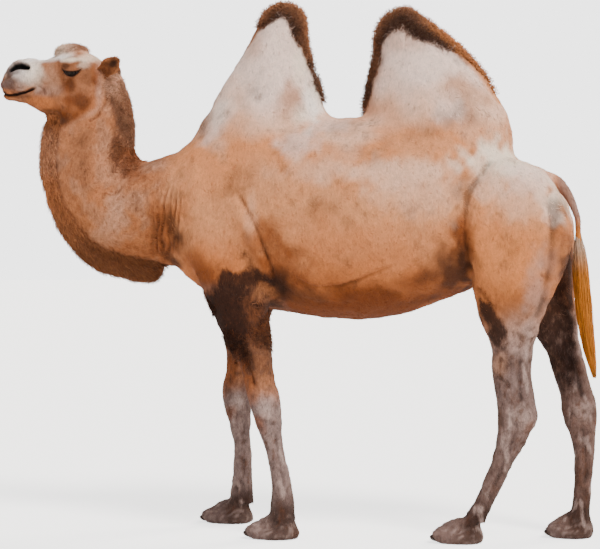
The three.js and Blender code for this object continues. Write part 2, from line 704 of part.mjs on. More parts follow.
const makeCamel = () => {
  const camel = new THREE.Group();
  const add = (name, solid, colour, roughness = 0.85) => camel.add(toMesh(name, solid, colour, roughness));

  const trunk = largest(makeTrunk());
  add('trunk', trunk, COLOURS.coat);
  add('hump_front', largest(makeHumpFront()), COLOURS.pale);
  add('hump_rear', largest(makeHumpRear()), COLOURS.pale);
  add('neck', largest(makeNeck()), COLOURS.coat);

  const head = largest(makeHead());
  add('head', head, COLOURS.face);
  [['left', -1], ['right', 1]].forEach(([hand, side]) => {
    add(`eye_${hand}`, eyeBall(side, 0), COLOURS.eye, 0.15);
    add(`ear_${hand}`, largest(makeEar(side, EAR_POSE[hand], head)), COLOURS.dark);
  });

  const thighs = [];
  Object.entries(legs).forEach(([name, pose]) => {
    const pieces = makeLeg(name, pose);
    add(`${name}_upper`, pieces[`${name}_upper`], name.startsWith('fore') ? COLOURS.dark : COLOURS.coat);
    add(`${name}_lower`, pieces[`${name}_lower`], COLOURS.shank);
    add(`${name}_foot`, pieces[`${name}_foot`], COLOURS.dark);
    Object.entries(makeNails(name, pose, pieces[`${name}_foot`])).forEach(([nailName, nail]) => {
      add(nailName, nail, COLOURS.nail, 0.5);
    });
    thighs.push(pieces[`${name}_upper`]);
  });

  const tail = makeTail(trunk, thighs);
  add('tail', tail.tail, COLOURS.coat);
  add('tail_tassel', tail.tail_tassel, COLOURS.tassel);
  return camel;
};

// The origin is on the floor, in the middle of the whole animal's box
const camel = makeCamel();
const box = new THREE.Box3().setFromObject(camel);
camel.position.set(-(box.min.x + box.max.x) / 2, -(box.min.y + box.max.y) / 2, -box.min.z);

export default camel;
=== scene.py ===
import bpy
import bmesh
import math
import numpy as np
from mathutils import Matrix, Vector


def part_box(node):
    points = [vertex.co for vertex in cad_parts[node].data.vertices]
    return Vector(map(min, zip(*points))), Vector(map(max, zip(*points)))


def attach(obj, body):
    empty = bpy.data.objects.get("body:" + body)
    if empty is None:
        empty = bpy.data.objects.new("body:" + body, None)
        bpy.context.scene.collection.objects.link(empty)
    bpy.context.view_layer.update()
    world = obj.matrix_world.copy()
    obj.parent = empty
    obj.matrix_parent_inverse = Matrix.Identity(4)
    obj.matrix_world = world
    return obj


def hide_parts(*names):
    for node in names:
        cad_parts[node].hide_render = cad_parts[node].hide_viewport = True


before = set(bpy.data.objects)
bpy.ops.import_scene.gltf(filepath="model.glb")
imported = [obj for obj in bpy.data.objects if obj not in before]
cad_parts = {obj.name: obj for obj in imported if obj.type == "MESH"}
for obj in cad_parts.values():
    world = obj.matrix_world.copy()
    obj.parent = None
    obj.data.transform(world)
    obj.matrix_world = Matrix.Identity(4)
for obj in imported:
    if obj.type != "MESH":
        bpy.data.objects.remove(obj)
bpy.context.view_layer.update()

# A two-humped camel in its short summer coat. Metres; -X is towards the nose, -Y is the animal's left.
# The body is a smooth field of named masses, the same ones that the CAD solids are cut from, less the wool.


# x, belly z, back z, half width, height of the widest place as a share
barrel = [
    (-0.5, 1.16, 1.485, 0.145, 0.45), (-0.44, 1.07, 1.575, 0.19, 0.45), (-0.34, 1.0, 1.64, 0.235, 0.42),
    (-0.18, 0.95, 1.68, 0.28, 0.42), (0.0, 0.915, 1.71, 0.325, 0.44), (0.2, 0.893, 1.72, 0.355, 0.46),
    (0.38, 0.895, 1.71, 0.362, 0.47), (0.54, 0.93, 1.69, 0.345, 0.47), (0.7, 0.995, 1.66, 0.31, 0.47),
    (0.84, 1.06, 1.6, 0.275, 0.5), (0.96, 1.1, 1.535, 0.235, 0.52), (1.04, 1.15, 1.485, 0.175, 0.54),
    (1.085, 1.21, 1.44, 0.11, 0.56), (1.105, 1.27, 1.39, 0.05, 0.56),
]
# z, front edge x, rear edge x, half width
frontHump = [
    (1.5, -0.43, 0.27, 0.23), (1.6, -0.422, 0.215, 0.22), (1.7, -0.388, 0.168, 0.198),
    (1.76, -0.35, 0.146, 0.18), (1.83, -0.304, 0.12, 0.158), (1.9, -0.254, 0.096, 0.138),
    (1.97, -0.202, 0.066, 0.118), (2.03, -0.158, 0.044, 0.1), (2.08, -0.126, 0.04, 0.084),
    (2.12, -0.105, 0.036, 0.068), (2.15, -0.08, 0.016, 0.048), (2.17, -0.045, -0.01, 0.02),
]
rearHump = [
    (1.45, 0.25, 1.0, 0.24), (1.55, 0.285, 0.93, 0.232), (1.63, 0.31, 0.926, 0.222),
    (1.71, 0.322, 0.908, 0.207), (1.79, 0.33, 0.866, 0.185), (1.87, 0.346, 0.812, 0.16),
    (1.93, 0.366, 0.766, 0.14), (1.99, 0.378, 0.708, 0.12), (2.04, 0.382, 0.65, 0.103),
    (2.08, 0.392, 0.596, 0.086), (2.11, 0.412, 0.55, 0.066), (2.135, 0.45, 0.5, 0.025),
]
# x, z, depth on the throat side, depth on the nape side, half width
neckRows = [
    (-0.9, 1.86, 0.135, 0.178, 0.072), (-0.872, 1.77, 0.15, 0.176, 0.08), (-0.858, 1.67, 0.162, 0.172, 0.09),
    (-0.862, 1.55, 0.175, 0.19, 0.101), (-0.825, 1.44, 0.19, 0.21, 0.113), (-0.74, 1.355, 0.205, 0.215, 0.13),
    (-0.62, 1.335, 0.22, 0.212, 0.158), (-0.48, 1.35, 0.245, 0.232, 0.192), (-0.34, 1.37, 0.26, 0.25, 0.215),
]
# x, lower z, upper z, half width, height of the widest place as a share
faceRows = [
    (-1.258, 1.868, 1.885, 0.02, 0.4), (-1.247, 1.852, 1.918, 0.04, 0.4), (-1.23, 1.846, 1.95, 0.052, 0.4),
    (-1.205, 1.843, 1.976, 0.059, 0.4), (-1.165, 1.845, 1.988, 0.06, 0.42), (-1.12, 1.85, 1.988, 0.055, 0.45),
    (-1.07, 1.85, 1.981, 0.056, 0.5), (-1.02, 1.845, 1.996, 0.066, 0.55), (-0.97, 1.838, 2.018, 0.082, 0.58),
    (-0.92, 1.832, 2.022, 0.093, 0.58), (-0.87, 1.832, 2.005, 0.092, 0.56), (-0.82, 1.84, 1.975, 0.08, 0.52),
    (-0.775, 1.87, 1.935, 0.048, 0.5),
]
jawRows = [
    (-1.252, 1.826, 1.85, 0.018), (-1.238, 1.814, 1.858, 0.032), (-1.2, 1.808, 1.864, 0.038),
    (-1.15, 1.795, 1.875, 0.041), (-1.1, 1.768, 1.9, 0.045), (-1.04, 1.742, 1.91, 0.052),
    (-0.97, 1.728, 1.92, 0.062), (-0.9, 1.73, 1.92, 0.068), (-0.85, 1.76, 1.9, 0.062),
    (-0.81, 1.81, 1.88, 0.04),
]
# ellipsoids on both sides of the head and rump: middle, half sizes, tip about Y
eyeAt = (-0.925, 0.08, 1.926)
brow = dict(at=(-0.925, 0.084, 1.962), size=(0.05, 0.024, 0.02), tilt=-0.15)
jawMuscle = dict(at=(-0.905, 0.052, 1.815), size=(0.095, 0.034, 0.082), tilt=0.25)
upperLip = dict(at=(-1.205, 0.03, 1.872), size=(0.05, 0.036, 0.032), tilt=0.1)
hip = dict(at=(0.93, 0.15, 1.385), size=(0.15, 0.125, 0.155), tilt=0.0)

# z, half depth fore and aft, half width
foreLeg = [
    (0.085, 0.05, 0.048), (0.139, 0.048, 0.044), (0.2, 0.04, 0.037), (0.28, 0.036, 0.033),
    (0.36, 0.037, 0.034), (0.443, 0.048, 0.043), (0.524, 0.06, 0.053), (0.585, 0.064, 0.054),
    (0.647, 0.061, 0.05), (0.728, 0.068, 0.054), (0.81, 0.083, 0.064), (0.89, 0.098, 0.076),
    (0.98, 0.122, 0.088), (1.08, 0.155, 0.098), (1.2, 0.158, 0.1), (1.33, 0.138, 0.09), (1.46, 0.105, 0.07),
]
hindLeg = [
    (0.085, 0.044, 0.044), (0.142, 0.041, 0.04), (0.223, 0.04, 0.035), (0.304, 0.042, 0.035),
    (0.385, 0.053, 0.038), (0.455, 0.068, 0.044), (0.51, 0.079, 0.049), (0.565, 0.077, 0.051),
    (0.64, 0.075, 0.054), (0.705, 0.077, 0.056), (0.763, 0.08, 0.06), (0.82, 0.095, 0.068),
    (0.9, 0.124, 0.086), (1.02, 0.164, 0.108), (1.14, 0.188, 0.122), (1.26, 0.203, 0.124),
    (1.36, 0.191, 0.114), (1.43, 0.15, 0.094), (1.5, 0.095, 0.06),
]
foreY = (
    0.2, 0.2, 0.199, 0.199, 0.199, 0.2, 0.2, 0.2, 0.2, 0.202, 0.205, 0.207, 0.205, 0.195, 0.18, 0.15, 0.11,
)
# each leg: its side, its thickness, its table, the foot (x, y, length, half width), and the x and y of its
# middle at the table's heights
legPose = {
    "foreleg_left": dict(
        side=-1, slim=1.0, table=foreLeg, y=foreY, foot=(-0.032, 0.2, 0.112, 0.084),
        x=(0.009, 0.008, 0.006, -0.006, -0.023, -0.044, -0.058, -0.071, -0.088, -0.107, -0.134, -0.156,
           -0.176, -0.198, -0.222, -0.245, -0.25)),
    "foreleg_right": dict(
        side=1, slim=1.0, table=foreLeg, y=foreY, foot=(-0.318, 0.2, 0.112, 0.084),
        x=(-0.256, -0.256, -0.253, -0.252, -0.257, -0.266, -0.274, -0.272, -0.26, -0.25, -0.242, -0.24,
           -0.232, -0.222, -0.232, -0.245, -0.25)),
    "hindleg_left": dict(
        side=-1, slim=1.0, table=hindLeg, foot=(0.722, 0.165, 0.104, 0.077),
        y=(0.168, 0.168, 0.17, 0.173, 0.176, 0.179, 0.181, 0.183, 0.185, 0.187, 0.188, 0.19, 0.19, 0.188,
           0.184, 0.176, 0.162, 0.142, 0.115),
        x=(0.79, 0.817, 0.859, 0.893, 0.928, 0.952, 0.965, 0.959, 0.948, 0.94, 0.947, 0.946, 0.941, 0.953,
           0.969, 0.975, 0.968, 0.965, 0.96)),
    "hindleg_right": dict(
        side=1, slim=0.9, table=hindLeg, foot=(1.15, 0.072, 0.094, 0.077),
        y=(0.075, 0.077, 0.082, 0.088, 0.094, 0.1, 0.105, 0.11, 0.115, 0.122, 0.13, 0.14, 0.15, 0.16, 0.166,
           0.166, 0.156, 0.14, 0.115),
        x=(1.192, 1.202, 1.207, 1.211, 1.208, 1.198, 1.19, 1.182, 1.16, 1.142, 1.122, 1.094, 1.062, 1.018,
           0.988, 0.978, 0.968, 0.965, 0.96)),
}
# x, z, outer and inner depth, half width
tailRows = [
    (1.0, 1.485, 0.03, 0.03, 0.03), (1.05, 1.472, 0.027, 0.027, 0.028), (1.095, 1.452, 0.023, 0.023, 0.024),
    (1.13, 1.424, 0.02, 0.02, 0.021), (1.158, 1.385, 0.018, 0.018, 0.019), (1.176, 1.34, 0.017, 0.017, 0.018),
    (1.187, 1.29, 0.016, 0.016, 0.017), (1.194, 1.2, 0.015, 0.015, 0.016), (1.2, 1.1, 0.013, 0.013, 0.014),
]


def curve(knots, values):
    # cubic through the values at the knots, with Catmull-Rom slopes, level beyond both ends
    k, v = np.array(knots, float), np.array(values, float)
    slope = np.gradient(v, k)
    slope[1:-1] = (v[2:] - v[:-2]) / (k[2:] - k[:-2])

    def at(t):
        t = np.clip(t, k[0], k[-1])
        i = np.clip(np.searchsorted(k, t, side="right") - 1, 0, len(k) - 2)
        h = k[i + 1] - k[i]
        s = (t - k[i]) / h
        r = 1 - s
        return ((1 + 2 * s) * r * r * v[i] + s * r * r * h * slope[i]
                + s * s * (3 - 2 * s) * v[i + 1] + s * s * (s - 1) * h * slope[i + 1])
    return at


def columns(rows):
    return [list(column) for column in zip(*rows)]


def ovalDistance(u, v, a, b, power):
    # first-order distance to a rounded-square oval: (k - 1) / |grad k|, k the power-norm of (u / a, v / b)
    p = np.maximum(np.abs(u) / a, 1e-4)
    q = np.maximum(np.abs(v) / b, 1e-4)
    k = np.maximum((p ** power + q ** power) ** (1 / power), 0.05)
    slope = k ** (1 - power) * np.hypot(p ** (power - 1) / a, q ** (power - 1) / b)
    return (k - 1) / np.maximum(slope, 1e-3)


def softUnion(a, b, width):
    h = np.maximum(width - np.abs(a - b), 0) / width
    return np.minimum(a, b) - h * h * width / 4


def capped(across, along):
    return np.where(along > 0, np.hypot(np.maximum(across, 0), along), across)


def loft(axis, rows, power, mid=None):
    # ovals stacked along X or Z; rows: place, low edge, high edge, half width, share
    table = columns(rows)
    low, high, half = [curve(table[0], table[n]) for n in (1, 2, 3)]
    share = curve(table[0], table[4] if len(table) > 4 else [0.5] * len(rows))
    first, last = table[0][0], table[0][-1]

    def field(x, y, z):
        t, s = (x, z) if axis == "x" else (z, x)
        lo, hi = low(t), high(t)
        middle = lo + share(t) * (hi - lo)
        v = s - middle
        depth = np.maximum(np.where(v > 0, hi - middle, middle - lo), 0.004)
        across = ovalDistance(y - (mid(t) if mid else 0), v, np.maximum(half(t), 0.004), depth, power)
        return capped(across, np.maximum(first - t, t - last))
    return field


sweepSteps = 48      # straight pieces that a swept path is searched by


def sweep(rows, power, outward):
    # ovals carried along a path in the middle plane; rows: x, z, outer depth, inner depth, half width
    table = columns(rows)
    places = range(len(rows))
    pathX, pathZ, outer, inner, wide = [curve(places, column) for column in table]
    ts = np.linspace(0, len(rows) - 1, sweepSteps + 1)
    xs, zs = pathX(ts), pathZ(ts)

    def field(x, y, z):
        best = np.zeros(np.shape(x), int)
        nearest = np.full(np.shape(x), np.inf)
        for i in range(sweepSteps + 1):
            d = (x - xs[i]) ** 2 + (z - zs[i]) ** 2
            best = np.where(d < nearest, i, best)
            nearest = np.minimum(d, nearest)
        a, b = np.maximum(best - 1, 0), np.minimum(best + 1, sweepSteps)
        dx, dz = xs[b] - xs[a], zs[b] - zs[a]
        length = np.hypot(dx, dz)
        dx, dz, step = dx / length, dz / length, (ts[b] - ts[a]) / length
        along = (x - xs[best]) * dx + (z - zs[best]) * dz
        t = np.clip(ts[best] + along * step, 0, len(rows) - 1)
        beyond = np.abs(along - (t - ts[best]) / step)
        v = outward * ((x - pathX(t)) * dz - (z - pathZ(t)) * dx)
        across = ovalDistance(y, v, wide(t), np.where(v > 0, outer(t), inner(t)), power)
        return capped(across, np.where(beyond > 1e-5, beyond, 0))
    return field


def egg(at, size, tilt, mirror=False):
    # ellipsoid, its long axis tipped by tilt about Y; mirrored to both sides on request
    c, s = math.cos(tilt), math.sin(tilt)
    a, b, e = size

    def field(x, y, z):
        dy = (np.abs(y) if mirror else y) - at[1]
        dx, dz = (x - at[0]) * c - (z - at[2]) * s, (x - at[0]) * s + (z - at[2]) * c
        k = np.sqrt((dx / a) ** 2 + (dy / b) ** 2 + (dz / e) ** 2)
        slope = np.sqrt((dx / a ** 2) ** 2 + (dy / b ** 2) ** 2 + (dz / e ** 2) ** 2)
        return k * (k - 1) / np.maximum(slope, 1e-3)
    return field


def blend(first, *others):
    def field(x, y, z):
        distance = first(x, y, z)
        for other, width in others:
            distance = softUnion(distance, other(x, y, z), width)
        return distance
    return field


def legField(pose):
    rows = [(z, x - depth * pose["slim"], x + depth * pose["slim"], half)
            for (z, depth, half), x in zip(pose["table"], pose["x"])]
    middle = curve(columns(pose["table"])[0], pose["y"])
    return loft("z", rows, 2.25, lambda z: pose["side"] * middle(z))


def footField(pose):
    # a broad two-toed pad with a low heel
    x, y, length, width = pose["foot"]
    y = pose["side"] * y
    toeSize = (length * 0.49, width * 0.46, 0.032)
    toes = [egg((x - length * 0.46, y + across * width * 0.45, 0.03), toeSize, 0.1)
            for across in (-1, 1)]
    instep = egg((x - length * 0.12, y, 0.06), (length * 0.62, width * 0.55, 0.032), -0.36)
    pad = egg((x + 0.01, y, 0.018), (length - 0.014, width, 0.034), 0)
    heel = egg((x + 0.052, y, 0.04), (0.046, width * 0.72, 0.05), 0)
    return blend(pad, (heel, 0.03), (blend(toes[0], (toes[1], 0.006)), 0.015), (instep, 0.02))


trunkField = blend(loft("x", barrel, 2.25), (loft("z", frontHump, 1.8), 0.05),
                   (loft("z", rearHump, 1.8), 0.05), (egg(mirror=True, **hip), 0.04))
headField = blend(loft("x", faceRows, 2.2), (loft("x", jawRows, 2.2), 0.014),
                  (egg(mirror=True, **brow), 0.02), (egg(mirror=True, **jawMuscle), 0.02),
                  (egg(mirror=True, **upperLip), 0.02))
legFields = {name: blend(legField(pose), (footField(pose), 0.03)) for name, pose in legPose.items()}
fleshField = blend(
    trunkField, (sweep(neckRows, 2.1, 1), 0.07), (headField, 0.035), (sweep(tailRows, 2.0, 1), 0.03),
    (legFields["foreleg_left"], 0.045), (legFields["foreleg_right"], 0.045),
    (legFields["hindleg_left"], 0.03), (legFields["hindleg_right"], 0.03))


def gradientOf(field, points, step=0.0008):
    x, y, z = points.T
    value = field(x, y, z)
    moved = np.stack([field(x + step, y, z), field(x, y + step, z), field(x, y, z + step)], 1)
    return value, (moved - value[:, None]) / step


def toSurface(field, points, rounds=2):
    for _ in range(rounds):
        value, slope = gradientOf(field, points)
        length2 = np.maximum((slope ** 2).sum(1), 0.09)
        points = points - slope * (value / length2)[:, None]
    return points


def fieldOnGrid(field, axes, coarse):
    # the field is worked out everywhere on a coarse grid, and again on the fine one only near the surface
    rough = field(*np.meshgrid(*[axis[::coarse] for axis in axes], indexing="ij"))
    near = np.abs(rough) < (axes[0][1] - axes[0][0]) * coarse * 2
    picks = [np.minimum((np.arange(len(axis)) + coarse // 2) // coarse, rough.shape[k] - 1)
             for k, axis in enumerate(axes)]
    values = np.where(rough < 0, -1.0, 1.0)[np.ix_(*picks)]
    i, j, k = np.nonzero(near[np.ix_(*picks)])
    values[i, j, k] = field(axes[0][i], axes[1][j], axes[2][k])
    return values


def surfaceNet(values, axes):
    # one vertex in each cell that the surface crosses, at the mean of its edge crossings; one quad across
    # each crossed grid edge
    inside = values < 0
    shape = np.array(values.shape) - 1
    count = np.zeros(shape, np.int8)
    corners = [(i, j, k) for i in (0, 1) for j in (0, 1) for k in (0, 1)]
    for c in corners:
        count += inside[c[0]:c[0] + shape[0], c[1]:c[1] + shape[1], c[2]:c[2] + shape[2]]
    cell = np.stack(np.nonzero((count > 0) & (count < 8)))
    number = np.full(shape, -1)
    number[tuple(cell)] = np.arange(cell.shape[1])
    total, crossed = np.zeros((cell.shape[1], 3)), np.zeros(cell.shape[1])
    for a in corners:
        for axis in [n for n in range(3) if a[n] == 0]:
            b = [a[n] + (n == axis) for n in range(3)]
            ia, ib = [tuple(cell[n] + corner[n] for n in range(3)) for corner in (a, b)]
            va, vb = values[ia], values[ib]
            cut = (va < 0) != (vb < 0)
            share = np.where(cut, va / np.where(cut, va - vb, 1), 0)
            pa = np.stack([axes[n][ia[n]] for n in range(3)], 1)
            pb = np.stack([axes[n][ib[n]] for n in range(3)], 1)
            total += np.where(cut[:, None], pa + share[:, None] * (pb - pa), 0)
            crossed += cut
    quads = []
    for axis in range(3):
        others = [n for n in range(3) if n != axis]
        lower = [slice(None)] * 3
        upper = [slice(None)] * 3
        lower[axis], upper[axis] = slice(0, -1), slice(1, None)
        cut = inside[tuple(lower)] != inside[tuple(upper)]
        trimmed = [slice(None)] * 3
        for n in others:
            trimmed[n] = slice(1, -1)
        at = list(np.nonzero(cut[tuple(trimmed)]))
        for n in others:
            at[n] = at[n] + 1
        ring = []
        for d in ((0, 0), (1, 0), (1, 1), (0, 1)):
            near = list(at)
            near[others[0]] = at[others[0]] - 1 + d[0]
            near[others[1]] = at[others[1]] - 1 + d[1]
            ring.append(number[tuple(near)])
        quad = np.stack(ring, 1)
        outward = inside[tuple(at)] != (axis == 1)
        quads.append(np.where(outward[:, None], quad, quad[:, ::-1]))
    return total / crossed[:, None], np.concatenate(quads)


# the tables' own origin, found from an eye, so that the skin lies exactly in the solids
eyeLow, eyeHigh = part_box("eye_left")
shift = (np.array(eyeLow) + np.array(eyeHigh)) / 2 - np.array([eyeAt[0], -eyeAt[1], eyeAt[2]])


def makeMesh(name, points, faces, moved=True):
    # faces of one kind, all triangles or all quads; the tables' origin is moved to the solids' own
    mesh = bpy.data.meshes.new(name)
    faces = np.asarray(faces)
    points = points + shift if moved else points
    mesh.vertices.add(len(points))
    mesh.vertices.foreach_set("co", np.asarray(points, np.float32).ravel())
    mesh.loops.add(faces.size)
    mesh.loops.foreach_set("vertex_index", faces.ravel().astype(np.int32))
    mesh.polygons.add(len(faces))
    mesh.polygons.foreach_set("loop_start", np.arange(0, faces.size, faces.shape[1], dtype=np.int32))
    mesh.polygons.foreach_set("use_smooth", np.full(len(faces), True))
    mesh.update(calc_edges=True)
    mesh.validate()
    piece = bpy.data.objects.new(name, mesh)
    bpy.context.scene.collection.objects.link(piece)
    return piece


def readAll(items, name, width, kind=np.float32):
    values = np.empty(len(items) * width, kind)
    items.foreach_get(name, values)
    return values.reshape(-1, width)


def readPoints(mesh):
    return readAll(mesh.vertices, "co", 3).astype(float)


def editMesh(mesh, change):
    work = bmesh.new()
    work.from_mesh(mesh)
    change(work)
    work.to_mesh(mesh)
    work.free()


def refine(mesh, inside):
    # every edge with both ends inside is cut in two, and the faces beside them with it
    chosen = np.nonzero(inside(readPoints(mesh))[readAll(mesh.edges, "vertices", 2, np.int32)].all(1))[0]

    def cut(work):
        work.edges.ensure_lookup_table()
        edges = [work.edges[int(i)] for i in chosen]
        bmesh.ops.subdivide_edges(work, edges=edges, cuts=1, use_grid_fill=True)
    editMesh(mesh, cut)


# wool that stands beyond the short coat: x, z, outer depth, inner depth, half width
woolRows = {
    "mane": [
        (-1.02, 1.745, 0.045, 0.06, 0.05), (-1.03, 1.66, 0.052, 0.06, 0.05),
        (-1.045, 1.54, 0.053, 0.06, 0.052), (-1.015, 1.42, 0.063, 0.06, 0.055),
        (-0.945, 1.3, 0.08, 0.06, 0.06), (-0.85, 1.205, 0.095, 0.06, 0.062),
        (-0.73, 1.145, 0.097, 0.06, 0.064), (-0.615, 1.12, 0.09, 0.06, 0.062),
        (-0.56, 1.118, 0.05, 0.05, 0.05),
    ],
    "nape": [
        (-0.785, 1.895, 0.04, 0.045, 0.05), (-0.74, 1.8, 0.045, 0.057, 0.055),
        (-0.728, 1.7, 0.045, 0.057, 0.055), (-0.73, 1.62, 0.04, 0.05, 0.05),
    ],
    "front_crest": [
        (-0.222, 1.93, 0.018, 0.03, 0.03), (-0.172, 2.0, 0.026, 0.034, 0.04),
        (-0.118, 2.09, 0.032, 0.04, 0.042), (-0.075, 2.155, 0.036, 0.04, 0.042),
        (-0.02, 2.168, 0.038, 0.04, 0.042), (0.025, 2.13, 0.04, 0.04, 0.042),
        (0.036, 2.06, 0.034, 0.04, 0.042), (0.064, 1.965, 0.03, 0.036, 0.042),
        (0.096, 1.88, 0.026, 0.034, 0.042), (0.13, 1.79, 0.02, 0.03, 0.035),
    ],
    "rear_crest": [
        (0.33, 1.74, 0.028, 0.03, 0.035), (0.34, 1.83, 0.032, 0.034, 0.04), (0.372, 1.94, 0.036, 0.04, 0.042),
        (0.385, 2.04, 0.04, 0.04, 0.042), (0.415, 2.105, 0.038, 0.04, 0.042),
        (0.475, 2.135, 0.038, 0.04, 0.042), (0.556, 2.087, 0.04, 0.04, 0.042),
        (0.642, 2.022, 0.036, 0.04, 0.042), (0.728, 1.955, 0.032, 0.036, 0.042),
        (0.805, 1.862, 0.026, 0.032, 0.04), (0.858, 1.77, 0.022, 0.03, 0.035),
    ],
}
# each wool's power of roundness, and which side of its path is the outer one
woolShape = {"mane": (2.2, 1), "nape": (2.0, 1), "front_crest": (2.2, -1), "rear_crest": (2.2, -1)}
# the box that each is worked out in: low corner, high corner
woolBoxes = {
    "mane": ((-1.3, -0.3, 0.9), (-0.3, 0.3, 2.0)), "nape": ((-0.95, -0.3, 1.4), (-0.5, 0.3, 2.1)),
    "front_crest": ((-0.4, -0.25, 1.6), (0.3, 0.25, 2.3)),
    "rear_crest": ((0.15, -0.25, 1.55), (1.05, 0.25, 2.3)),
}
# z, half depth, half width, about the forearm's own middle
armWool = [
    (0.66, 0.058, 0.05), (0.728, 0.08, 0.064), (0.81, 0.102, 0.078), (0.89, 0.115, 0.09), (0.98, 0.138, 0.1),
    (1.06, 0.15, 0.105), (1.12, 0.12, 0.095),
]
topknot = dict(at=(-0.95, 0, 2.012), size=(0.078, 0.072, 0.04), tilt=0.0)
lids = dict(at=eyeAt, size=(0.037, 0.025, 0.027), tilt=0.0)


def armWoolField(pose):
    heights = columns(pose["table"])[0]
    middleX, middleY = curve(heights, pose["x"]), curve(heights, pose["y"])
    rows = [(z, float(middleX(z)) - depth, float(middleX(z)) + depth, half) for z, depth, half in armWool]
    return loft("z", rows, 2.2, lambda z: pose["side"] * middleY(z))


def within(field, low, high):
    # the field inside a box, far away outside it, which saves the work there
    def limited(x, y, z):
        inside = (x > low[0]) & (x < high[0]) & (y > low[1]) & (y < high[1]) & (z > low[2]) & (z < high[2])
        value = np.full(np.shape(x), 9.0)
        value[inside] = field(x[inside], y[inside], z[inside])
        return value
    return limited


woolFields = {name: within(sweep(rows, *woolShape[name]), *woolBoxes[name])
              for name, rows in woolRows.items()}
woolFields["topknot"] = egg(**topknot)
for hand, low, high in (("left", -0.5, 0.1), ("right", -0.1, 0.5)):
    arm = armWoolField(legPose["foreleg_" + hand])
    woolFields["arm_" + hand] = within(arm, (-0.6, low, 0.5), (0.2, high, 1.3))
woolDepth = 0.013       # of the tufts that stand over the dense wool beneath


def woolCore(x, y, z):
    return np.minimum.reduce([field(x, y, z) for field in woolFields.values()]) + woolDepth


def skinField(x, y, z):
    flesh = softUnion(fleshField(x, y, z), egg(mirror=True, **lids)(x, y, z), 0.01)
    # the soles are flat on the floor
    return np.maximum(softUnion(flesh, woolCore(x, y, z), 0.02), -z)


def soft(value, low, high):
    t = np.clip((value - low) / (high - low), 0, 1)
    return t * t * (3 - 2 * t)


def waves(points, size, seed, count=14):
    # smooth noise with a spread of about 1: a sum of sine waves near the size in length, in seeded directions
    draw = np.random.default_rng(seed)
    ways = draw.normal(size=(count, 3))
    ways *= (2 * math.pi / size * draw.uniform(0.6, 1.7, count) / np.linalg.norm(ways, axis=1))[:, None]
    return np.sin(points @ ways.T + draw.uniform(0, 2 * math.pi, count)).sum(1) / math.sqrt(count / 2)


def lineDistance(points, line):
    # seen from the side: signed distance to a broken line of x and z, positive on its rear side where it
    # runs downwards, and the place along it from 0 to 1
    flat, knots = points[:, [0, 2]], np.array(line, float)
    nearest, along, hand = np.full(len(points), np.inf), np.zeros(len(points)), np.ones(len(points))
    for i in range(len(knots) - 1):
        way = knots[i + 1] - knots[i]
        off = flat - knots[i]
        t = np.clip(off @ way / (way @ way), 0, 1)
        distance = np.linalg.norm(off - t[:, None] * way, axis=1)
        closer = distance < nearest
        nearest = np.where(closer, distance, nearest)
        along = np.where(closer, (i + t) / (len(knots) - 1), along)
        hand = np.where(closer, np.sign(way[0] * off[:, 1] - way[1] * off[:, 0]), hand)
    return nearest * np.where(hand == 0, 1, hand), along


def swell(distance, middle, width):
    return np.exp(-((distance - middle) / width) ** 2)


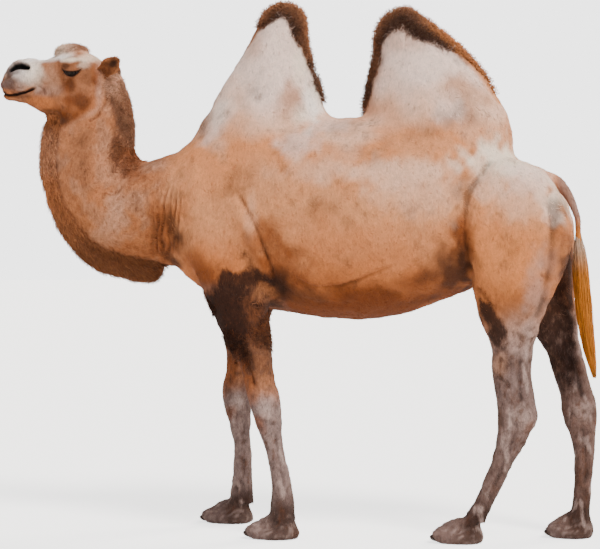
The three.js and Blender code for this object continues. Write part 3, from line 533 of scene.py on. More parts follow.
# lines pressed into the skin on both sides: width, depth, a swelling beside it (its distance behind the line,
# width, height), and the line in x and z
creases = {
    "elbow": (0.012, 0.013, (-0.035, 0.035, 0.012), [(-0.175, 1.425), (-0.13, 1.36), (-0.082, 1.27),
        (-0.048, 1.185), (-0.014, 1.1), (-0.004, 1.03)]),
    "haunch": (0.013, 0.014, (0.045, 0.04, 0.014), [(0.885, 1.56), (0.85, 1.52), (0.818, 1.465), (0.78, 1.4),
        (0.772, 1.31), (0.768, 1.24), (0.778, 1.14), (0.792, 1.04)]),
    "stifle": (0.008, 0.009, (0.014, 0.01, 0.005), [(0.8, 1.035), (0.835, 1.01), (0.872, 0.965)]),
    "hamstring": (0.02, 0.01, (-0.045, 0.035, 0.007), [(1.1, 1.4), (1.112, 1.3), (1.105, 1.19), (1.095, 1.09),
        (1.072, 0.98), (1.04, 0.88)]),
    "jaw": (0.006, 0.007, (-0.012, 0.01, 0.003), [(-0.773, 1.85), (-0.778, 1.79), (-0.812, 1.733),
        (-0.856, 1.706)]),
    "mouth": (0.0055, 0.011, (0.01, 0.006, 0.003), [(-1.262, 1.845), (-1.24, 1.834), (-1.218, 1.829),
        (-1.18, 1.833), (-1.143, 1.843), (-1.088, 1.864)]),
    "lip": (0.005, 0.006, (0.01, 0.008, 0.002), [(-1.204, 1.934), (-1.224, 1.912), (-1.236, 1.888)]),
    "cheek": (0.007, 0.004, (0.012, 0.01, 0.002), [(-1.08, 1.87), (-1.06, 1.85), (-1.05, 1.825)]),
    "belly": (0.008, 0.006, (0.014, 0.012, 0.004), [(0.057, 1.088), (0.117, 1.045), (0.177, 1.028),
        (0.267, 1.034), (0.342, 1.058), (0.425, 1.095), (0.52, 1.125)]),
    "belly_low": (0.009, 0.005, (0.014, 0.012, 0.003), [(0.1, 0.985), (0.17, 0.965), (0.25, 0.96),
        (0.33, 0.975)]),
    "forearm": (0.011, 0.01, (0.022, 0.015, 0.006), [(-0.153, 0.84), (-0.138, 0.772), (-0.108, 0.682),
        (-0.092, 0.607)]),
    "knee_front": (0.006, 0.003, (0.012, 0.01, 0.003), [(-0.105, 0.61), (-0.086, 0.575), (-0.078, 0.53)]),
    "knee_under": (0.009, 0.005, (0.014, 0.012, 0.003), [(-0.1, 0.5), (-0.063, 0.484), (-0.03, 0.468),
        (-0.005, 0.466)]),
    "fore_tendon": (0.008, 0.008, (0.015, 0.009, 0.005), [(-0.012, 0.44), (-0.006, 0.4), (0.004, 0.34),
        (0.012, 0.278), (0.024, 0.19)]),
    "scratch": (0.004, 0.005, (0.009, 0.006, 0.002), [(-0.024, 0.294), (-0.004, 0.285), (0.022, 0.262)]),
    "gaskin": (0.01, 0.009, (-0.022, 0.016, 0.005), [(0.978, 0.8), (0.98, 0.712), (0.978, 0.655),
        (0.98, 0.607), (0.99, 0.56)]),
    "gaskin_fold_high": (0.006, 0.004, (0.012, 0.01, 0.003), [(0.91, 0.745), (0.942, 0.722), (0.965, 0.69)]),
    "gaskin_fold": (0.006, 0.004, (0.012, 0.01, 0.003), [(0.88, 0.68), (0.92, 0.658), (0.955, 0.62)]),
    "gaskin_fold_low": (0.006, 0.004, (0.012, 0.01, 0.003), [(0.884, 0.62), (0.918, 0.6), (0.946, 0.56)]),
    "hock": (0.009, 0.005, (0.016, 0.012, 0.004), [(0.925, 0.525), (0.945, 0.495), (0.985, 0.47)]),
    "hind_tendon": (0.008, 0.008, (0.015, 0.009, 0.005), [(0.972, 0.465), (0.952, 0.428), (0.922, 0.35),
        (0.896, 0.28), (0.868, 0.205)]),
    "neck_fold": (0.007, 0.006, (0.012, 0.01, 0.003), [(-0.775, 1.395), (-0.72, 1.412), (-0.668, 1.45)]),
    "neck_fold_low": (0.007, 0.005, (0.012, 0.01, 0.003), [(-0.76, 1.365), (-0.7, 1.378), (-0.645, 1.418)]),
    "nape_edge": (0.006, 0.006, (0.012, 0.01, 0.004), [(-0.735, 1.64), (-0.75, 1.59), (-0.745, 1.55)]),
}
mouthLine = creases["mouth"][3]
neckFolds = dict(middle=-0.492, reach=0.1, spacing=0.024, slant=0.1, low=1.12, high=1.47, height=0.0085)
# bony places, seen from the side on both legs of a pair: x, z, radius, height
knobs = [
    (-0.03, 0.545, 0.032, 0.006), (-0.095, 0.56, 0.022, 0.004), (-0.01, 0.62, 0.022, 0.003),
    (1.004, 0.54, 0.024, 0.006), (0.935, 0.455, 0.024, 0.004), (0.935, 0.78, 0.04, 0.005),
    (0.03, 0.13, 0.022, 0.004), (0.87, 0.15, 0.024, 0.004),
]
eyeSlit = dict(at=(-0.922, 1.925), half=0.0325, upper=-0.006, lower=0.0185, tilt=0.03, depth=0.017)
nostril = dict(line=[(-1.204, 1.936), (-1.186, 1.95), (-1.16, 1.954), (-1.128, 1.946)], radius=0.0135,
               depth=0.022)


def slitEdge(points):
    # how far above or below the almond of the eye opening a point lies, seen from the side
    c, s = math.cos(eyeSlit["tilt"]), math.sin(eyeSlit["tilt"])
    x, z = points[:, 0] - eyeSlit["at"][0], points[:, 2] - eyeSlit["at"][1]
    u, v = (x * c - z * s) / eyeSlit["half"], x * s + z * c
    bow = 1 - u ** 2
    return np.maximum(v - eyeSlit["upper"] * bow, -eyeSlit["lower"] * bow - v)


def nostrilEdge(points):
    distance, along = lineDistance(points, nostril["line"])
    bow = np.clip(np.sin(math.pi * (0.12 + 0.76 * along)), 0, 1)
    return np.abs(distance) - nostril["radius"] * np.sqrt(bow)


legMiddles = {name: curve(columns(pose["table"])[0], pose["x"]) for name, pose in legPose.items()}


def legPlace(points):
    # both sides alike: y is made positive, and the far legs are slid to where the near ones stand
    x, y, z = points.T
    lower = soft(1.02 - z, 0, 0.12)
    slid = [legMiddles[leg + "_right"](z) - legMiddles[leg + "_left"](z) for leg in ("foreleg", "hindleg")]
    slide = np.where(x < 0.45, slid[0] * (x < 0.15), slid[1] * (x > 0.68)) * lower * (y > 0)
    return np.stack([x - slide, np.abs(y), z], 1)


def reliefOf(points, normals):
    # what the smooth masses leave out: folds, creases, lids, nostrils and the unevenness of a living hide
    sideways = soft(np.abs(normals[:, 1]), 0.25, 0.6)
    x, y, z = points.T
    lift = np.zeros(len(points))
    headShare = soft(-x, 0.78, 0.84) * soft(z, 1.66, 1.72)
    place = legPlace(points)
    for name, (width, depth, beside, line) in creases.items():
        distance, along = lineDistance(place, line)
        ends = soft(along, 0, 0.14) * soft(1 - along, 0, 0.14)
        if name == "mouth":
            ends = soft(1 - along, 0, 0.1)
        where = np.where(np.abs(y) < 0.02, 1, sideways) if name == "mouth" else sideways
        middle, reach, height = beside
        lift += where * ends * (height * swell(distance, middle, reach) - depth * swell(distance, 0, width))
    for atX, atZ, radius, height in knobs:
        lift += sideways * height * swell(np.hypot(place[:, 0] - atX, place[:, 2] - atZ), 0, radius)
    across = x - neckFolds["slant"] * (z - 1.3) + 0.005 * waves(points, 0.13, 5)
    fold = np.abs(np.cos(math.pi * (across - neckFolds["middle"]) / neckFolds["spacing"])) ** 2.0
    fold *= np.clip(0.75 + 0.35 * waves(points * [1, 1, 0.4], 0.07, 7), 0.2, 1.3)
    inFolds = (soft(neckFolds["reach"] - np.abs(across - neckFolds["middle"]), 0, 0.05) * sideways
               * soft(z, neckFolds["low"], neckFolds["low"] + 0.07)
               * soft(neckFolds["high"] - z, 0, 0.08))
    lift += neckFolds["height"] * (fold - 0.5) * inFolds
    # fine slanting wrinkles over the bend of the neck
    wrinkles = np.sin((z * 0.9 - x * 0.5) * 2 * math.pi / 0.024 + 2 * waves(points, 0.12, 6))
    lift += 0.0011 * wrinkles * soft(0.16 - np.hypot(x + 0.66, z - 1.36), 0, 0.1) * sideways

    edge = slitEdge(points)
    fromEye = np.hypot(x - eyeSlit["at"][0], z - eyeSlit["at"][1])
    nearEye = soft(0.055 - fromEye, 0, 0.012) * (np.abs(y) > 0.05)
    upperSide = soft(z - eyeSlit["at"][1] + 0.008, -0.004, 0.004)
    lid = 0.0012 + 0.0022 * upperSide
    lift += nearEye * (-eyeSlit["depth"] * soft(-edge, -0.0006, 0.0022)
                       + lid * swell(edge, 0.0035, 0.0028) - lid * swell(edge, 0.0105, 0.0035)
                       - 0.0015 * (1 - upperSide) * swell(edge, 0.014, 0.003))
    edge = nostrilEdge(points)
    nearNose = soft(-x, 1.09, 1.11) * (np.abs(y) > 0.012)
    lift += nearNose * (-nostril["depth"] * soft(-edge, -0.003, 0.006) + 0.0035 * swell(edge, 0.007, 0.005))
    # split of the upper lip
    lift -= (0.005 * soft(-x, 1.235, 1.25) * swell(y, 0, 0.004) * soft(z, 1.845, 1.86)
             * soft(1.925 - z, 0, 0.02))

    # the unevenness of legs, trunk and head: height, length of the waves, seed
    legs = soft(0.8 - z, 0, 0.1)
    lift += (legs * (0.0012 * waves(points * [1, 1, 0.45], 0.075, 11)
                     + 0.0012 * waves(points * [1, 1, 0.6], 0.035, 12)) * soft(z, 0.02, 0.08))
    trunk = (1 - legs) * (1 - headShare)
    lift += trunk * (0.0026 * waves(points, 0.3, 13) + 0.0013 * waves(points, 0.11, 14)
                     + 0.0005 * waves(points, 0.045, 15))
    lift += headShare * (0.0007 * waves(points, 0.05, 16) + 0.0003 * waves(points, 0.02, 17))
    return lift


def inBox(points, low, high):
    return ((points > np.array(low)) & (points < np.array(high))).all(1)


# boxes where the net is made finer, one after another, on both sides of the animal
finerBoxes = [
    [((-1.4, -0.25, 1.68), (-0.74, 0.25, 2.2)), ((-0.66, -0.3, 1.05), (-0.34, 0.3, 1.56)),
     ((-0.6, -0.4, -0.1), (0.13, 0.4, 1.02)), ((0.66, -0.4, -0.1), (1.3, 0.4, 0.98)),
     ((-0.2, -0.4, 1.02), (0.1, 0.4, 1.46)), ((0.67, -0.4, 0.98), (0.83, 0.4, 1.62)),
     ((1.02, -0.4, 0.98), (1.16, 0.4, 1.46)), ((0.1, -0.4, 1.0), (0.56, 0.4, 1.14))],
    [((-1.4, -0.25, 1.7), (-0.8, 0.25, 2.05))],
    [((-0.97, 0.05, 1.895), (-0.88, 0.2, 1.955)), ((-0.97, -0.2, 1.895), (-0.88, -0.05, 1.955)),
     ((-1.225, 0.0, 1.925), (-1.11, 0.2, 1.975)), ((-1.225, -0.2, 1.925), (-1.11, 0.0, 1.975)),
     ((-1.275, -0.2, 1.818), (-1.07, 0.2, 1.875))],
]
skin = dict(cell=0.0188, low=(-1.3, -0.4, -0.02), high=(1.32, 0.4, 2.2))


def makeSkin():
    axes = [np.arange(skin["low"][n], skin["high"][n] + skin["cell"], skin["cell"]) for n in range(3)]
    points, quads = surfaceNet(fieldOnGrid(skinField, axes, 4), axes)
    piece = makeMesh("camel_skin", toSurface(skinField, points), quads, moved=False)
    for boxes in finerBoxes:
        refine(piece.data, lambda points: np.logical_or.reduce([inBox(points, *box) for box in boxes]))
    points = toSurface(skinField, readPoints(piece.data))
    points[:, 2] = np.maximum(points[:, 2], 0)
    slope = gradientOf(skinField, points)[1]
    normals = slope / np.maximum(np.linalg.norm(slope, axis=1), 1e-6)[:, None]
    lift = reliefOf(points, normals) * soft(points[:, 2], 0.002, 0.02)
    places = points + normals * lift[:, None] + shift
    piece.data.vertices.foreach_set("co", places.astype(np.float32).ravel())
    piece.data.polygons.foreach_set("use_smooth", np.full(len(piece.data.polygons), True))
    piece.data.update()
    return piece, points, normals, lift


skinPiece, skinPoints, skinNormals, skinLift = makeSkin()
print("skin", len(skinPiece.data.vertices), len(skinPiece.data.polygons))


def ink(red, green, blue):
    # linear colour from the usual 0 to 255 screen values
    c = np.array([red, green, blue]) / 255
    return np.where(c <= 0.04045, c / 12.92, ((c + 0.055) / 1.055) ** 2.4)


inks = {
    "pale": ink(244, 212, 198), "sand": ink(234, 184, 154), "tan": ink(214, 144, 98),
    "amber": ink(196, 116, 66), "umber": ink(134, 70, 30), "orange": ink(218, 136, 80),
    "rust": ink(120, 62, 28), "cream": ink(248, 228, 206), "pink": ink(190, 136, 110),
    "brown": ink(84, 50, 32), "dark": ink(40, 20, 13), "deep": ink(24, 12, 8), "shank": ink(134, 112, 107),
    "frost": ink(186, 160, 152), "white": ink(252, 242, 236), "smoke": ink(98, 82, 80), "black": ink(9, 5, 4),
    "wool": ink(116, 72, 46), "neck": ink(178, 110, 68), "throat": ink(106, 50, 10),
    "gold": ink(206, 124, 40), "callus": ink(182, 116, 74), "mane": ink(192, 122, 78),
    "face": ink(166, 106, 72), "fawn": ink(196, 144, 114), "foot": ink(82, 62, 55),
    "eyeWhite": ink(34, 22, 17), "irisDark": ink(26, 14, 8), "iris": ink(52, 30, 16), "lash": ink(40, 26, 20),
    "claw": ink(48, 36, 30), "clawPale": ink(96, 78, 66),
}
# the trunk from the belly up: height, ink; the darker inks low down are partly the belly's own darker hair
# and partly painted shade under the body
trunkRamp = [
    (0.93, "rust"), (0.985, "umber"), (1.09, "amber"), (1.36, "tan"), (1.56, "orange"), (1.7, "sand"),
    (1.86, "pale"),
]

# patches on both sides: middle, half sizes, ink, strength; painted shade and painted highlights are among
# them, marked where they stand
patches = [
    ((-0.27, 0.23, 1.5), (0.15, 0.2, 0.12), "orange", 0.55),
    ((-0.2, 0.22, 1.66), (0.08, 0.2, 0.07), "orange", 0.55),
    ((-0.25, 0.28, 1.3), (0.12, 0.2, 0.14), "tan", 0.5), ((0.02, 0.34, 1.46), (0.12, 0.2, 0.09), "tan", 0.6),
    ((0.035, 0.13, 1.79), (0.06, 0.2, 0.07), "pink", 0.75),
    ((0.05, 0.13, 1.79), (0.03, 0.2, 0.03), "wool", 0.25), ((-0.1, 0.3, 1.3), (0.03, 0.3, 0.1), "sand", 0.3),
    ((0.06, 0.12, 1.94), (0.03, 0.2, 0.1), "cream", 0.7),
    ((0.08, 0.16, 1.74), (0.05, 0.2, 0.05), "cream", 0.6),
    ((0.64, 0.27, 1.6), (0.17, 0.2, 0.07), "orange", 0.75),
    ((0.74, 0.27, 1.57), (0.04, 0.2, 0.035), "orange", 0.5),
    ((0.52, 0.35, 1.49), (0.26, 0.2, 0.07), "sand", 0.85),
    ((0.58, 0.35, 1.43), (0.1, 0.2, 0.04), "pink", 0.35),
    ((0.24, 0.31, 1.58), (0.1, 0.2, 0.04), "orange", 0.45), ((0.2, 0.25, 1.7), (0.1, 0.2, 0.05), "pale", 0.6),
    ((0.74, 0.16, 1.8), (0.08, 0.2, 0.11), "fawn", 0.85), ((0.34, 0.1, 1.9), (0.05, 0.2, 0.16), "fawn", 0.6),
    ((0.48, 0.1, 2.02), (0.12, 0.2, 0.05), "fawn", 0.45),
    ((-0.14, 0.12, 2.02), (0.05, 0.2, 0.07), "fawn", 0.45),
    ((0.9, 0.29, 1.34), (0.14, 0.2, 0.12), "orange", 0.5),
    ((0.99, 0.31, 1.16), (0.12, 0.2, 0.12), "orange", 0.5),
    ((0.92, 0.3, 1.16), (0.16, 0.2, 0.13), "orange", 0.6),
    ((0.92, 0.2, 1.54), (0.17, 0.3, 0.1), "cream", 0.95), ((1.02, 0.2, 1.46), (0.1, 0.3, 0.08), "pale", 0.8),
    ((0.84, 0.26, 1.44), (0.06, 0.3, 0.06), "sand", 0.7),
    ((1.13, 0.27, 1.26), (0.035, 0.2, 0.13), "umber", 0.45),
    # partly painted highlight on the rump, laid over its own paler hair
    ((1.11, 0.24, 1.38), (0.03, 0.2, 0.05), "pale", 0.7),
    ((1.05, 0.24, 1.02), (0.05, 0.2, 0.15), "frost", 0.4),
    ((1.1, 0.2, 1.12), (0.045, 0.2, 0.12), "shank", 0.45),
    ((-0.71, 0.14, 1.37), (0.055, 0.2, 0.05), "fawn", 0.7),
    ((-0.73, 0.13, 1.3), (0.07, 0.2, 0.05), "fawn", 0.75),
    ((-0.76, 0.12, 1.24), (0.07, 0.2, 0.05), "fawn", 0.45),
    ((-0.62, 0.15, 1.38), (0.06, 0.2, 0.05), "fawn", 0.5),
    ((-0.7, 0.12, 1.5), (0.06, 0.2, 0.06), "fawn", 0.45),
    ((-0.78, 0.12, 1.58), (0.04, 0.2, 0.12), "fawn", 0.3),
    ((-0.86, 0.11, 1.62), (0.03, 0.2, 0.05), "wool", 0.45),
    ((-0.865, 0.11, 1.52), (0.025, 0.2, 0.05), "wool", 0.55),
    ((-0.855, 0.11, 1.445), (0.03, 0.2, 0.04), "wool", 0.45),
    ((-0.9, 0.09, 1.56), (0.03, 0.2, 0.1), "wool", 0.35),
    ((-0.645, 0.11, 1.49), (0.07, 0.2, 0.035), "umber", 0.75),
    ((-0.56, 0.16, 1.53), (0.08, 0.2, 0.03), "fawn", 0.6),
    ((-0.705, 0.05, 1.66), (0.055, 0.2, 0.13), "wool", 0.45),
    ((-0.42, 0.16, 1.68), (0.12, 0.3, 0.035), "fawn", 0.5),
    ((-0.5, 0.16, 1.24), (0.07, 0.2, 0.14), "umber", 0.75),
    ((-0.43, 0.18, 1.2), (0.04, 0.2, 0.07), "brown", 0.55),
    ((-0.4, 0.2, 1.36), (0.05, 0.2, 0.1), "amber", 0.5),
    ((-0.36, 0.2, 1.14), (0.07, 0.2, 0.05), "umber", 0.6),
    # painted shadow behind the elbow: the rust patch is partly the belly's own darker hair, the deep patch is
    # shade alone
    ((0.05, 0.28, 1.07), (0.12, 0.3, 0.12), "rust", 0.8),
    ((0.02, 0.28, 1.045), (0.05, 0.3, 0.08), "deep", 0.75),
    # painted shadow under the base of the neck
    ((-0.465, 0.12, 1.12), (0.045, 0.2, 0.03), "deep", 0.7),
    ((-0.3, 0.27, 1.1), (0.05, 0.2, 0.05), "umber", 0.5),
    ((0.0, 0.28, 1.2), (0.07, 0.3, 0.11), "umber", 0.65),
    # painted shade: the brown strip low on the belly, and the brown and umber patches in front of the stifle
    ((0.1, 0.28, 0.99), (0.14, 0.3, 0.04), "brown", 0.6), ((0.7, 0.27, 1.1), (0.1, 0.3, 0.11), "brown", 0.85),
    ((0.755, 0.27, 1.22), (0.05, 0.3, 0.12), "umber", 0.8),
    ((0.62, 0.26, 1.04), (0.14, 0.3, 0.06), "rust", 0.35),
    # painted shade in the gap behind the near thigh
    ((1.16, 0.23, 1.1), (0.035, 0.3, 0.11), "brown", 0.95),
    # partly painted highlight on the rump, laid over its own paler hair: the cream and pale patches here; the
    # white patch after them paints light onto the front hump's rear side
    ((1.13, 0.25, 1.38), (0.07, 0.3, 0.09), "cream", 0.6),
    ((1.12, 0.26, 1.33), (0.05, 0.3, 0.05), "pale", 0.5), ((0.11, 0.1, 1.8), (0.04, 0.3, 0.11), "white", 0.9),
    ((0.02, 0.13, 1.79), (0.05, 0.3, 0.08), "fawn", 0.55),
    ((0.68, 0.2, 1.74), (0.07, 0.3, 0.06), "pale", 0.7),
    ((-0.28, 0.2, 1.74), (0.06, 0.3, 0.08), "white", 0.5),
    ((0.125, 0.06, 1.84), (0.045, 0.3, 0.07), "cream", 0.6),
    ((0.08, 0.26, 1.61), (0.09, 0.3, 0.06), "pale", 0.65),
    ((-0.32, 0.2, 1.66), (0.06, 0.3, 0.06), "pale", 0.6),
    ((-0.06, 0.3, 1.2), (0.1, 0.3, 0.07), "umber", 0.65), ((0.79, 0.2, 1.89), (0.05, 0.3, 0.05), "pale", 0.8),
    # painted shadow in the hollow of the flank before the stifle
    ((0.75, 0.28, 1.13), (0.026, 0.3, 0.15), "deep", 0.8),
    ((0.715, 0.28, 1.08), (0.06, 0.3, 0.07), "brown", 0.75),
    ((0.758, 0.28, 1.27), (0.022, 0.3, 0.08), "umber", 0.75),
    ((0.58, 0.27, 1.6), (0.15, 0.3, 0.06), "tan", 0.65), ((0.97, 0.29, 1.37), (0.13, 0.3, 0.09), "sand", 0.6),
    ((0.2, 0.33, 1.5), (0.2, 0.3, 0.06), "sand", 0.45), ((0.6, 0.33, 1.4), (0.2, 0.3, 0.1), "sand", 0.55),
    ((-0.68, 0.06, 1.565), (0.06, 0.15, 0.06), "umber", 0.55),
    ((-0.735, 0.06, 1.62), (0.03, 0.15, 0.09), "wool", 0.5),
]
# the same on the head alone, on the legs alone, and where they are not kept to one part
facePatches = [
    ((-1.07, 0.04, 1.988), (0.15, 0.2, 0.022), "white", 0.95),
    ((-0.968, 0.06, 1.998), (0.034, 0.2, 0.028), "white", 0.9),
    ((-0.915, 0.09, 1.972), (0.05, 0.2, 0.012), "cream", 0.9),
    ((-0.868, 0.09, 1.948), (0.03, 0.2, 0.016), "cream", 0.4),
    ((-0.85, 0.07, 1.99), (0.05, 0.2, 0.016), "sand", 0.55),
    ((-1.155, 0.05, 1.935), (0.08, 0.2, 0.06), "white", 0.9),
    ((-1.1, 0.06, 1.915), (0.055, 0.2, 0.06), "cream", 0.55),
    ((-1.04, 0.06, 1.85), (0.07, 0.2, 0.032), "shank", 0.55),
    ((-1.02, 0.07, 1.925), (0.04, 0.2, 0.06), "fawn", 0.55),
    ((-1.015, 0.07, 1.865), (0.05, 0.2, 0.04), "fawn", 0.55),
    ((-0.99, 0.07, 1.945), (0.022, 0.2, 0.028), "umber", 0.35),
    ((-0.965, 0.08, 1.905), (0.014, 0.2, 0.04), "umber", 0.4),
    ((-0.845, 0.09, 1.905), (0.04, 0.2, 0.045), "wool", 0.5),
    ((-0.813, 0.08, 1.895), (0.022, 0.2, 0.035), "rust", 0.85),
    ((-0.843, 0.05, 1.985), (0.045, 0.2, 0.024), "cream", 0.6),
    ((-1.09, 0.04, 1.8), (0.08, 0.2, 0.025), "umber", 0.45),
    ((-0.932, 0.09, 1.864), (0.032, 0.2, 0.036), "rust", 0.95),
    ((-0.925, 0.09, 1.868), (0.018, 0.2, 0.024), "brown", 0.5),
    # painted shade under the brow, above the eye
    ((-0.945, 0.09, 1.946), (0.022, 0.2, 0.012), "brown", 0.85),
    ((-0.937, 0.09, 1.8), (0.026, 0.2, 0.018), "rust", 0.8),
    ((-0.88, 0.09, 1.8), (0.05, 0.2, 0.044), "rust", 0.92),
    ((-0.88, 0.09, 1.8), (0.036, 0.2, 0.036), "brown", 0.52),
    ((-0.93, 0.09, 1.812), (0.035, 0.2, 0.014), "rust", 0.5),
    ((-0.9, 0.09, 1.73), (0.08, 0.2, 0.03), "umber", 0.45),
    ((-0.805, 0.09, 1.88), (0.026, 0.2, 0.04), "umber", 0.75),
    ((-0.82, 0.09, 1.93), (0.022, 0.2, 0.03), "umber", 0.5),
    ((-0.985, 0.08, 1.728), (0.125, 0.3, 0.055), "throat", 0.95),
    ((-0.976, 0.07, 1.718), (0.055, 0.3, 0.02), "brown", 0.85),
    ((-1.06, 0.05, 1.795), (0.09, 0.3, 0.03), "amber", 0.8),
    ((-1.205, 0.04, 1.878), (0.055, 0.2, 0.038), "smoke", 0.9),
    # painted shade in the groove from the nostril down to the lip, and under the nostril's rim
    ((-1.212, 0.03, 1.918), (0.018, 0.2, 0.03), "brown", 0.85),
    ((-1.18, 0.05, 1.925), (0.04, 0.2, 0.012), "smoke", 0.75),
    ((-1.16, 0.05, 1.872), (0.035, 0.2, 0.02), "fawn", 0.3),
    ((-1.228, 0.03, 1.835), (0.045, 0.2, 0.022), "amber", 0.85),
    ((-1.238, 0.02, 1.843), (0.012, 0.2, 0.008), "deep", 0.95),
    ((-1.165, 0.05, 1.826), (0.05, 0.2, 0.01), "brown", 0.6),
]
legPatches = [
    ((-0.045, 0.25, 0.525), (0.035, 0.3, 0.06), "frost", 0.75),
    ((-0.03, 0.25, 0.42), (0.022, 0.2, 0.04), "frost", 0.3),
    ((-0.085, 0.25, 0.47), (0.045, 0.3, 0.04), "rust", 0.65),
    ((-0.15, 0.25, 0.72), (0.03, 0.3, 0.06), "rust", 0.5),
    ((-0.12, 0.25, 0.62), (0.04, 0.3, 0.09), "umber", 0.5),
    ((0.98, 0.25, 0.52), (0.05, 0.3, 0.05), "frost", 0.55),
    ((0.96, 0.25, 0.66), (0.05, 0.3, 0.05), "shank", 0.6),
    ((0.96, 0.27, 0.86), (0.06, 0.3, 0.1), "frost", 0.45),
    ((1.03, 0.25, 0.84), (0.04, 0.3, 0.14), "frost", 0.55),
    ((0.9, 0.25, 0.73), (0.035, 0.3, 0.05), "fawn", 0.5),
    ((0.89, 0.25, 0.5), (0.025, 0.3, 0.05), "brown", 0.6),
    ((1.03, 0.25, 0.47), (0.03, 0.3, 0.03), "rust", 0.4),
]
# the callus is the fold's own orange; the deep and brown patches are painted shade behind the elbow and under
# the fold
elbowPatches = [
    ((-0.058, 0.29, 1.008), (0.055, 0.2, 0.042), "callus", 0.95),
    ((0.01, 0.29, 1.01), (0.022, 0.2, 0.06), "deep", 0.6),
    ((-0.05, 0.29, 0.955), (0.05, 0.2, 0.014), "brown", 0.6),
]
crownPatches = [
    ((-0.945, 0.0, 2.022), (0.085, 0.1, 0.03), "sand", 0.9),
    ((-0.97, 0.0, 2.02), (0.05, 0.1, 0.035), "cream", 0.6),
    ((-0.915, 0.0, 2.043), (0.06, 0.09, 0.022), "umber", 0.8),
]
napePatches = [
    ((-0.752, 0.06, 1.868), (0.055, 0.2, 0.055), "fawn", 0.95),
    ((-0.75, 0.06, 1.872), (0.04, 0.2, 0.035), "sand", 0.5),
]
# hair of a darker kind, with a ragged edge: middle, half sizes, strength
darkPatches = [
    ((0.85, 0.27, 0.935), (0.05, 0.3, 0.06), 1.0), ((0.885, 0.27, 0.865), (0.045, 0.3, 0.075), 0.9),
]


def spotMask(points, at, size, noise):
    k = np.linalg.norm((points - np.array(at)) / np.array(size), axis=1)
    return 1 - soft(k + 0.12 * noise, 0.3, 1.4)


def bodyParts(points):
    # shares of head, neck, fore and hind leg at each place
    x, y, z = points.T
    head = soft(-x, 0.785, 0.83) * soft(z - 0.45 * (x + 0.9), 1.7, 1.745)
    neck = soft(-x, 0.44, 0.54) * (1 - head)
    fore = (soft(0.985 + np.clip(-x - 0.02, 0, 0.07) - z, 0, 0.09)
            * soft(0.08 - 0.045 * soft(z, 0.84, 0.92) - x, 0, 0.035) * soft(np.abs(y), 0.07, 0.12))
    hind = soft(1.0 - z + 0.25 * (x - 0.9), 0, 0.22) * soft(x, 0.66, 0.78)
    return head, neck, fore, hind


def markNoise(points):
    # waves of four sizes, the finest drawn out along the hair
    noises = [waves(points, size, seed) for size, seed in ((0.42, 21), (0.17, 22), (0.06, 23))]
    return noises + [waves(points * [1, 1, 0.5], 0.02, 33)]


def coatMarks(points, normals):
    # three masks that the material gives hairy edges: dark hair (with painted shade on the inner sides of the
    # hind legs), brown streaks, pale hair
    x, y, z = points.T
    q = legPlace(points)
    _, middling, small, fine = markNoise(points)
    head, neck, fore, hind = bodyParts(points)
    legs = np.maximum(fore, hind) * soft(z, 0.02, 0.06)
    streak = waves(points * [1, 1, 0.25], 0.05, 31)
    arm = (soft(z + 0.02 * middling + 0.5 * np.clip(-q[:, 0] - 0.1, -0.1, 0.03), 0.66, 0.84)
           * soft(1.15 - 1.1 * np.clip(-0.19 - x, 0, 0.2) - z + 0.022 * middling + 0.012 * small,
                  -0.02, 0.085)
           * soft(-x, -0.03, 0.02) * soft(x + 0.42, 0, 0.05) * soft(np.abs(y), 0.08, 0.14) * (1 - neck))
    rear = soft(q[:, 0] - legMiddles["foreleg_left"](z), 0.0, 0.06) * soft(1.02 - z, 0, 0.05)
    callus = spotMask(q, (-0.058, 0.29, 1.008), (0.052, 0.2, 0.04), small)
    inner = soft(-normals[:, 1] * np.sign(y), -0.1, 0.5) * soft(np.abs(y), 0.02, 0.05)
    dark = np.maximum.reduce([
        arm * (0.94 - 0.45 * rear) * (1 - callus),
        *[strength * spotMask(q, at, size, middling + small) for at, size, strength in darkPatches],
        # painted shade on the inner sides of the hind legs, where they face each other
        (0.82 + 0.08 * small) * inner * soft(x, 0.78, 0.86) * soft(1.2 - x, -0.01, 0.05)
        * soft(z, 0.46, 0.72) * soft(1.28 - z, 0, 0.12)])
    brown = np.maximum.reduce([
        legs * (0.34 * soft(streak, -0.2, 1.6) + 0.26 * soft(fine, 0.2, 2.0)),
        0.4 * head * soft(small + 0.6 * middling, 0.3, 1.9) * soft(1.95 - z, 0, 0.05),
        0.3 * neck * soft(middling + small, 0.2, 2.4),
        0.35 * (1 - legs) * (1 - head) * soft(middling + 0.7 * small, 0.9, 2.4),
        0.55 * arm,
        0.28 * spotMask(q, (0.6, 0.33, 1.34), (0.12, 0.3, 0.05), small)])
    trunk = (1 - head) * (1 - neck) * (1 - legs)
    pale = np.maximum(
        legs * 0.5 * soft(-streak + 0.4 * small, 0.2, 1.9) * soft(0.6 - z + 0.2 * (x > 0.5), 0, 0.08),
        0.12 * trunk * soft(middling - 0.5 * small, 0.3, 1.8) * soft(z, 1.3, 1.45) * soft(1.0 - x, 0, 0.1))
    # the fourth value is the strength of the hair's grain
    grain = 0.8 + 0.55 * neck + 0.35 * head + 1.0 * legs + 1.1 * arm
    return np.clip(np.stack([dark, brown, pale, grain], 1), 0, [1, 1, 1, 2])


def woolReach(name, points):
    # how far past the dense wool its colour goes: widest over the tops of the humps
    if name == "rear_crest":
        return (0.005 + 0.085 * spotMask(points, (0.5, 0, 2.12), (0.13, 0.4, 0.11), 0)
                + 0.062 * spotMask(points, (0.61, 0, 2.02), (0.1, 0.4, 0.08), 0))
    if name == "front_crest":
        return 0.002 + 0.034 * spotMask(points, (-0.01, 0, 2.13), (0.09, 0.4, 0.11), 0)
    return np.full(len(points), 0.034 if name == "mane" else 0.022)


